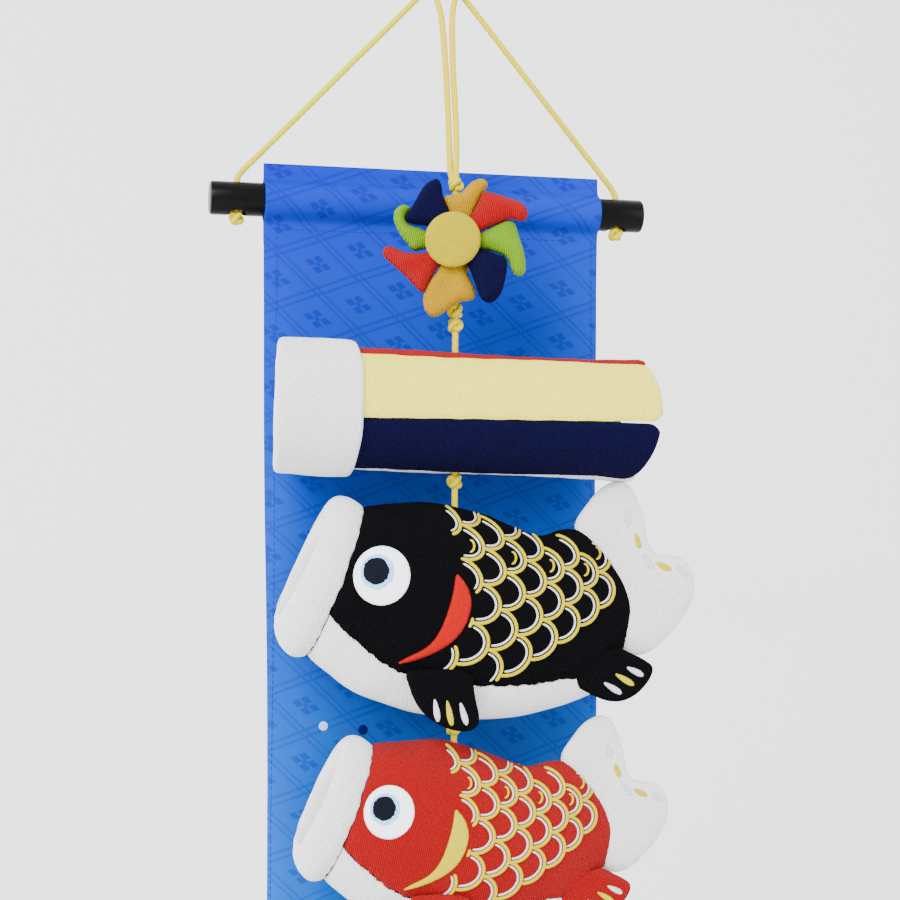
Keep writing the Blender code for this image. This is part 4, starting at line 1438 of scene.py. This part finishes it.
# %% [markdown]
# The tail sits in the middle of the body's end, and a fin stands on each side, so the outlines are
# moved by ASIDE for each step out. The rear fins sit a little higher than the front ones.

# %% Tail and fins
FIN_SIDE, ANAL_SIDE = 24.3, 9.8  # how far the fins stand out from the middle
REAR_SHIFT = {"rear_pectoral_fin": (3, 5), "rear_anal_fin": (-2, 1.5)}


def sew_pads(carp, scale, entry, cloth, slot):
    def place_at(out, lean):
        def place(point):
            return Vector((entry.x + point.x, entry.y + out * scale * MM + point.y
                           + lean * (point.z + 70 * scale * MM), entry.z + point.z))
        return place

    pads = {}
    for word, pattern, out, height, lean, material, pad_slot in (
            ("tail", TAIL, 0, 5.4, 0, WHITE, "crepe_white"),
            ("front_pectoral_fin", PECTORAL, -FIN_SIDE, 2.9, 0.05, cloth, slot),
            ("rear_pectoral_fin", PECTORAL, FIN_SIDE, 2.9, -0.05, cloth, slot),
            ("front_anal_fin", ANAL, -ANAL_SIDE, 2.7, 0, cloth, slot),
            ("rear_anal_fin", ANAL, ANAL_SIDE, 2.7, 0, cloth, slot)):
        outline = smooth_through(opened(pattern), 6, closed=True) - np.array([abs(out) * ASIDE, 0])
        outline += np.array(REAR_SHIFT.get(word, (0, 0)))
        outline *= scale * MM
        pads[word] = pad(f"{carp}_{word}_pad", outline, height * scale * MM,
                         0.95 * MM * scale ** 0.5, carp, pad_slot, material, f"{carp}_{word}",
                         reach=(13 if word == "tail" else 5) * scale * MM,
                         place=place_at(out, lean))
    return pads


print("tails and fins can be sewn")

# %% [markdown]
# The scales run in slanting rows that bend with the back. Each is a half round of gold cord with a
# finer silver line inside it, and those that would run into the gill or over the belly seam stop
# short. A few scales carry a small mark of gold. The eye is three discs of satin stitch, each a
# little higher than the one below.

# %% Scales, eye and gill
def clear_of_seams(x, z):
    """Whether a scale's thread may lie here: behind the gill and above the belly seam."""
    seam = np.interp(x, belly_line[:, 0], belly_line[:, 1])
    return z > seam + 1.6 and x > np.interp(z, *GILL_LINE)


def embroider_body(carp, word, side, gill_thread):
    gold, silver = ([], []), ([], [])
    theta = np.linspace(math.pi / 2, -math.pi / 2, 40)
    for row, first, last in SCALE_ROWS:
        for column in range(first, last):
            upper, tip = scale_spot(row - 1, column - 1), scale_spot(row, column)
            lower = scale_spot(row, column - 1)
            middle = (upper + lower) / 2
            out = (np.cos(theta)[:, None] * (tip - middle)
                   + np.sin(theta)[:, None] * (upper - lower) / 2)
            inner = middle + (1 - 1.75 / np.linalg.norm(out, axis=1))[:, None] * out
            sewn_line(side, middle + out, 0.74, *gold, clear_of_seams)
            sewn_line(side, inner[2:-2], 0.46, *silver, clear_of_seams)
            if (row, column) in MARKED_SCALES:
                mark = tip + np.array([-6, 1])
                bend = mark + np.stack([1.9 * np.cos(theta), 2.6 * np.sin(theta)], axis=1)
                sewn_line(side, bend, 0.5, *gold, clear_of_seams)
    for kind, material, (points, faces) in (("gold", GOLD, gold), ("silver", SILVER, silver)):
        made = mesh_object(f"{carp}_{word}_{kind}_scales", points, faces, material)
        finish_piece(made, carp, None)
    eye = f"{carp}_{word}_eye"
    satin(eye + "_white", side, disc(EYE, 12.5, 120), 0.6, 0.6, EYE_WHITE, carp, reach=2.2,
          middle=EYE)
    satin(eye + "_blue", side, disc(EYE + (-1.9, 1.5), 7.9), 0.35, 0.7, EYE_BLUE, carp,
          level=0.45, threads=(0, 1))
    satin(eye + "_pupil", side, disc(EYE + (-2.4, 1.8), 6.1), 0.4, 0.65, PUPIL, carp,
          level=0.75, threads=(0, 1))
    satin(f"{carp}_{word}_gill", side, smooth_through(GILL, 3, closed=True), 0.9, 0.8,
          gill_thread, carp, threads=(0.86, 0.5), pitch=0.9)


print("scales, eyes and gills can be sewn")

# %% [markdown]
# The rays are teardrops of satin stitch, silver and gold by turns. Their places are those of the
# fins' and the tail's own patterns, so they sit right on each size of carp.

# %% Rays on the fins and the tail
def embroider_rays(carp, word, fins, anal, tail):
    rays = (
        (fins, (-8.9, -80.9), (-7.3, -91), "silver"), (fins, (-3.6, -81.8), (-1.4, -92.8), "gold"),
        (fins, (2, -82.6), (5, -92.6), "silver"),
        (anal, (74.4, -70.2), (82.2, -74.2), "silver"), (anal, (69.5, -73), (78, -78.2), "gold"),
        (anal, (64.4, -76.6), (72.6, -81.8), "silver"),
        (tail, (75, -1), (76.6, -9.4), "silver"), (tail, (79, -12), (81.6, -19), "gold"),
        (tail, (82, -21.6), (87.4, -28), "silver"), (tail, (88, -25), (95.4, -28.6), "gold"),
        (tail, (96.4, -26.4), (103, -31.4), "silver"),
    )
    for i, (side, start, end, kind) in enumerate(rays):
        satin(f"{carp}_{word}_ray_{i + 1}", side, drop_shape(start, end), 0.5, 0.55,
              GOLD if kind == "gold" else SILVER, carp, reach=1.2, level=0.05,
              threads=((end[1] - start[1]) / 10, -(end[0] - start[0]) / 10), pitch=0.6)


print("rays can be sewn")

# %% [markdown]
# Now the three carps are sewn, each a size smaller than the one above it, and each in its own
# cloth. The red carp has a gold gill, because a red gill wouldn't show on it.

# %% The three carps
def sew_carp(carp, scale, entry, cloth, slot, gill):
    back = sew_body(carp, scale, entry, cloth, slot)
    sew_mouth(carp, scale, entry)
    pads = sew_pads(carp, scale, entry, cloth, slot)
    for word, sign in (("front", 1), ("rear", -1)):
        embroider_body(carp, word, Side(back, sign, scale, entry), gill)
        pieces = (pads[f"{word}_pectoral_fin"], pads[f"{word}_anal_fin"], pads["tail"])
        embroider_rays(carp, word, *(Side(piece, sign, scale, entry) for piece in pieces))


CARPS = (("black_carp", 1.0, -241.5, BLACK, "knit_black", GILL_RED),
         ("red_carp", 0.885, -343.0, CARP_RED, "knit_red", GOLD),
         ("blue_carp", 0.77, -434.0, CARP_BLUE, "knit_blue", GILL_RED))
for carp, scale, drop, cloth, slot, gill in CARPS:
    sew_carp(carp, scale, Vector((0, CHAIN_Y, drop * MM)), cloth, slot, gill)

# %% [markdown]
# ## The room
# The hanging is shown in a pale studio: a sweep of paper that curves up from the floor to a wall,
# an even bright sky, and two soft panels. The larger panel stands to the left and above, so every
# stuffed piece has a gentle shadow side to its right.

# %% Sweep and lights
profile = [(-1.6, -0.75), (0.1, -0.75), (0.6, -0.72), (1.0, -0.6), (1.25, -0.36), (1.36, 0),
           (1.4, 1.7)]
sweep_line = smooth_through(profile, 6)
sweep = mesh_object("paper_sweep", [(x, y, z) for y, z in sweep_line for x in (-2.4, 2.6)],
                    grid_faces(len(sweep_line), 2),
                    plain_material("pale_paper", (0.86, 0.86, 0.87), 0.9))

sky = bpy.data.worlds.new("sky")
bpy.context.scene.world = sky
sky.use_nodes = True
sky.node_tree.nodes["Background"].inputs["Color"].default_value = (0.95, 0.97, 1.0, 1)
sky.node_tree.nodes["Background"].inputs["Strength"].default_value = 2.4


def soft_panel(name, place, aim, size, power, colour):
    light = bpy.data.lights.new(name, "AREA")
    light.shape = "RECTANGLE"
    light.size, light.size_y = size
    light.energy = power
    light.color = colour
    made = bpy.data.objects.new(name, light)
    made.location = place
    made.rotation_euler = (Vector(aim) - Vector(place)).to_track_quat("-Z", "Y").to_euler()
    bpy.context.collection.objects.link(made)
    return made


soft_panel("left_panel", (-1.1, -1.3, 0.65), (0, 0, -0.25), (1.0, 1.2), 82, (1.0, 0.985, 0.96))
soft_panel("right_panel", (1.3, -1.0, 0.1), (0, 0, -0.25), (0.8, 1.2), 14, (0.95, 0.97, 1.0))
print("lights are on")
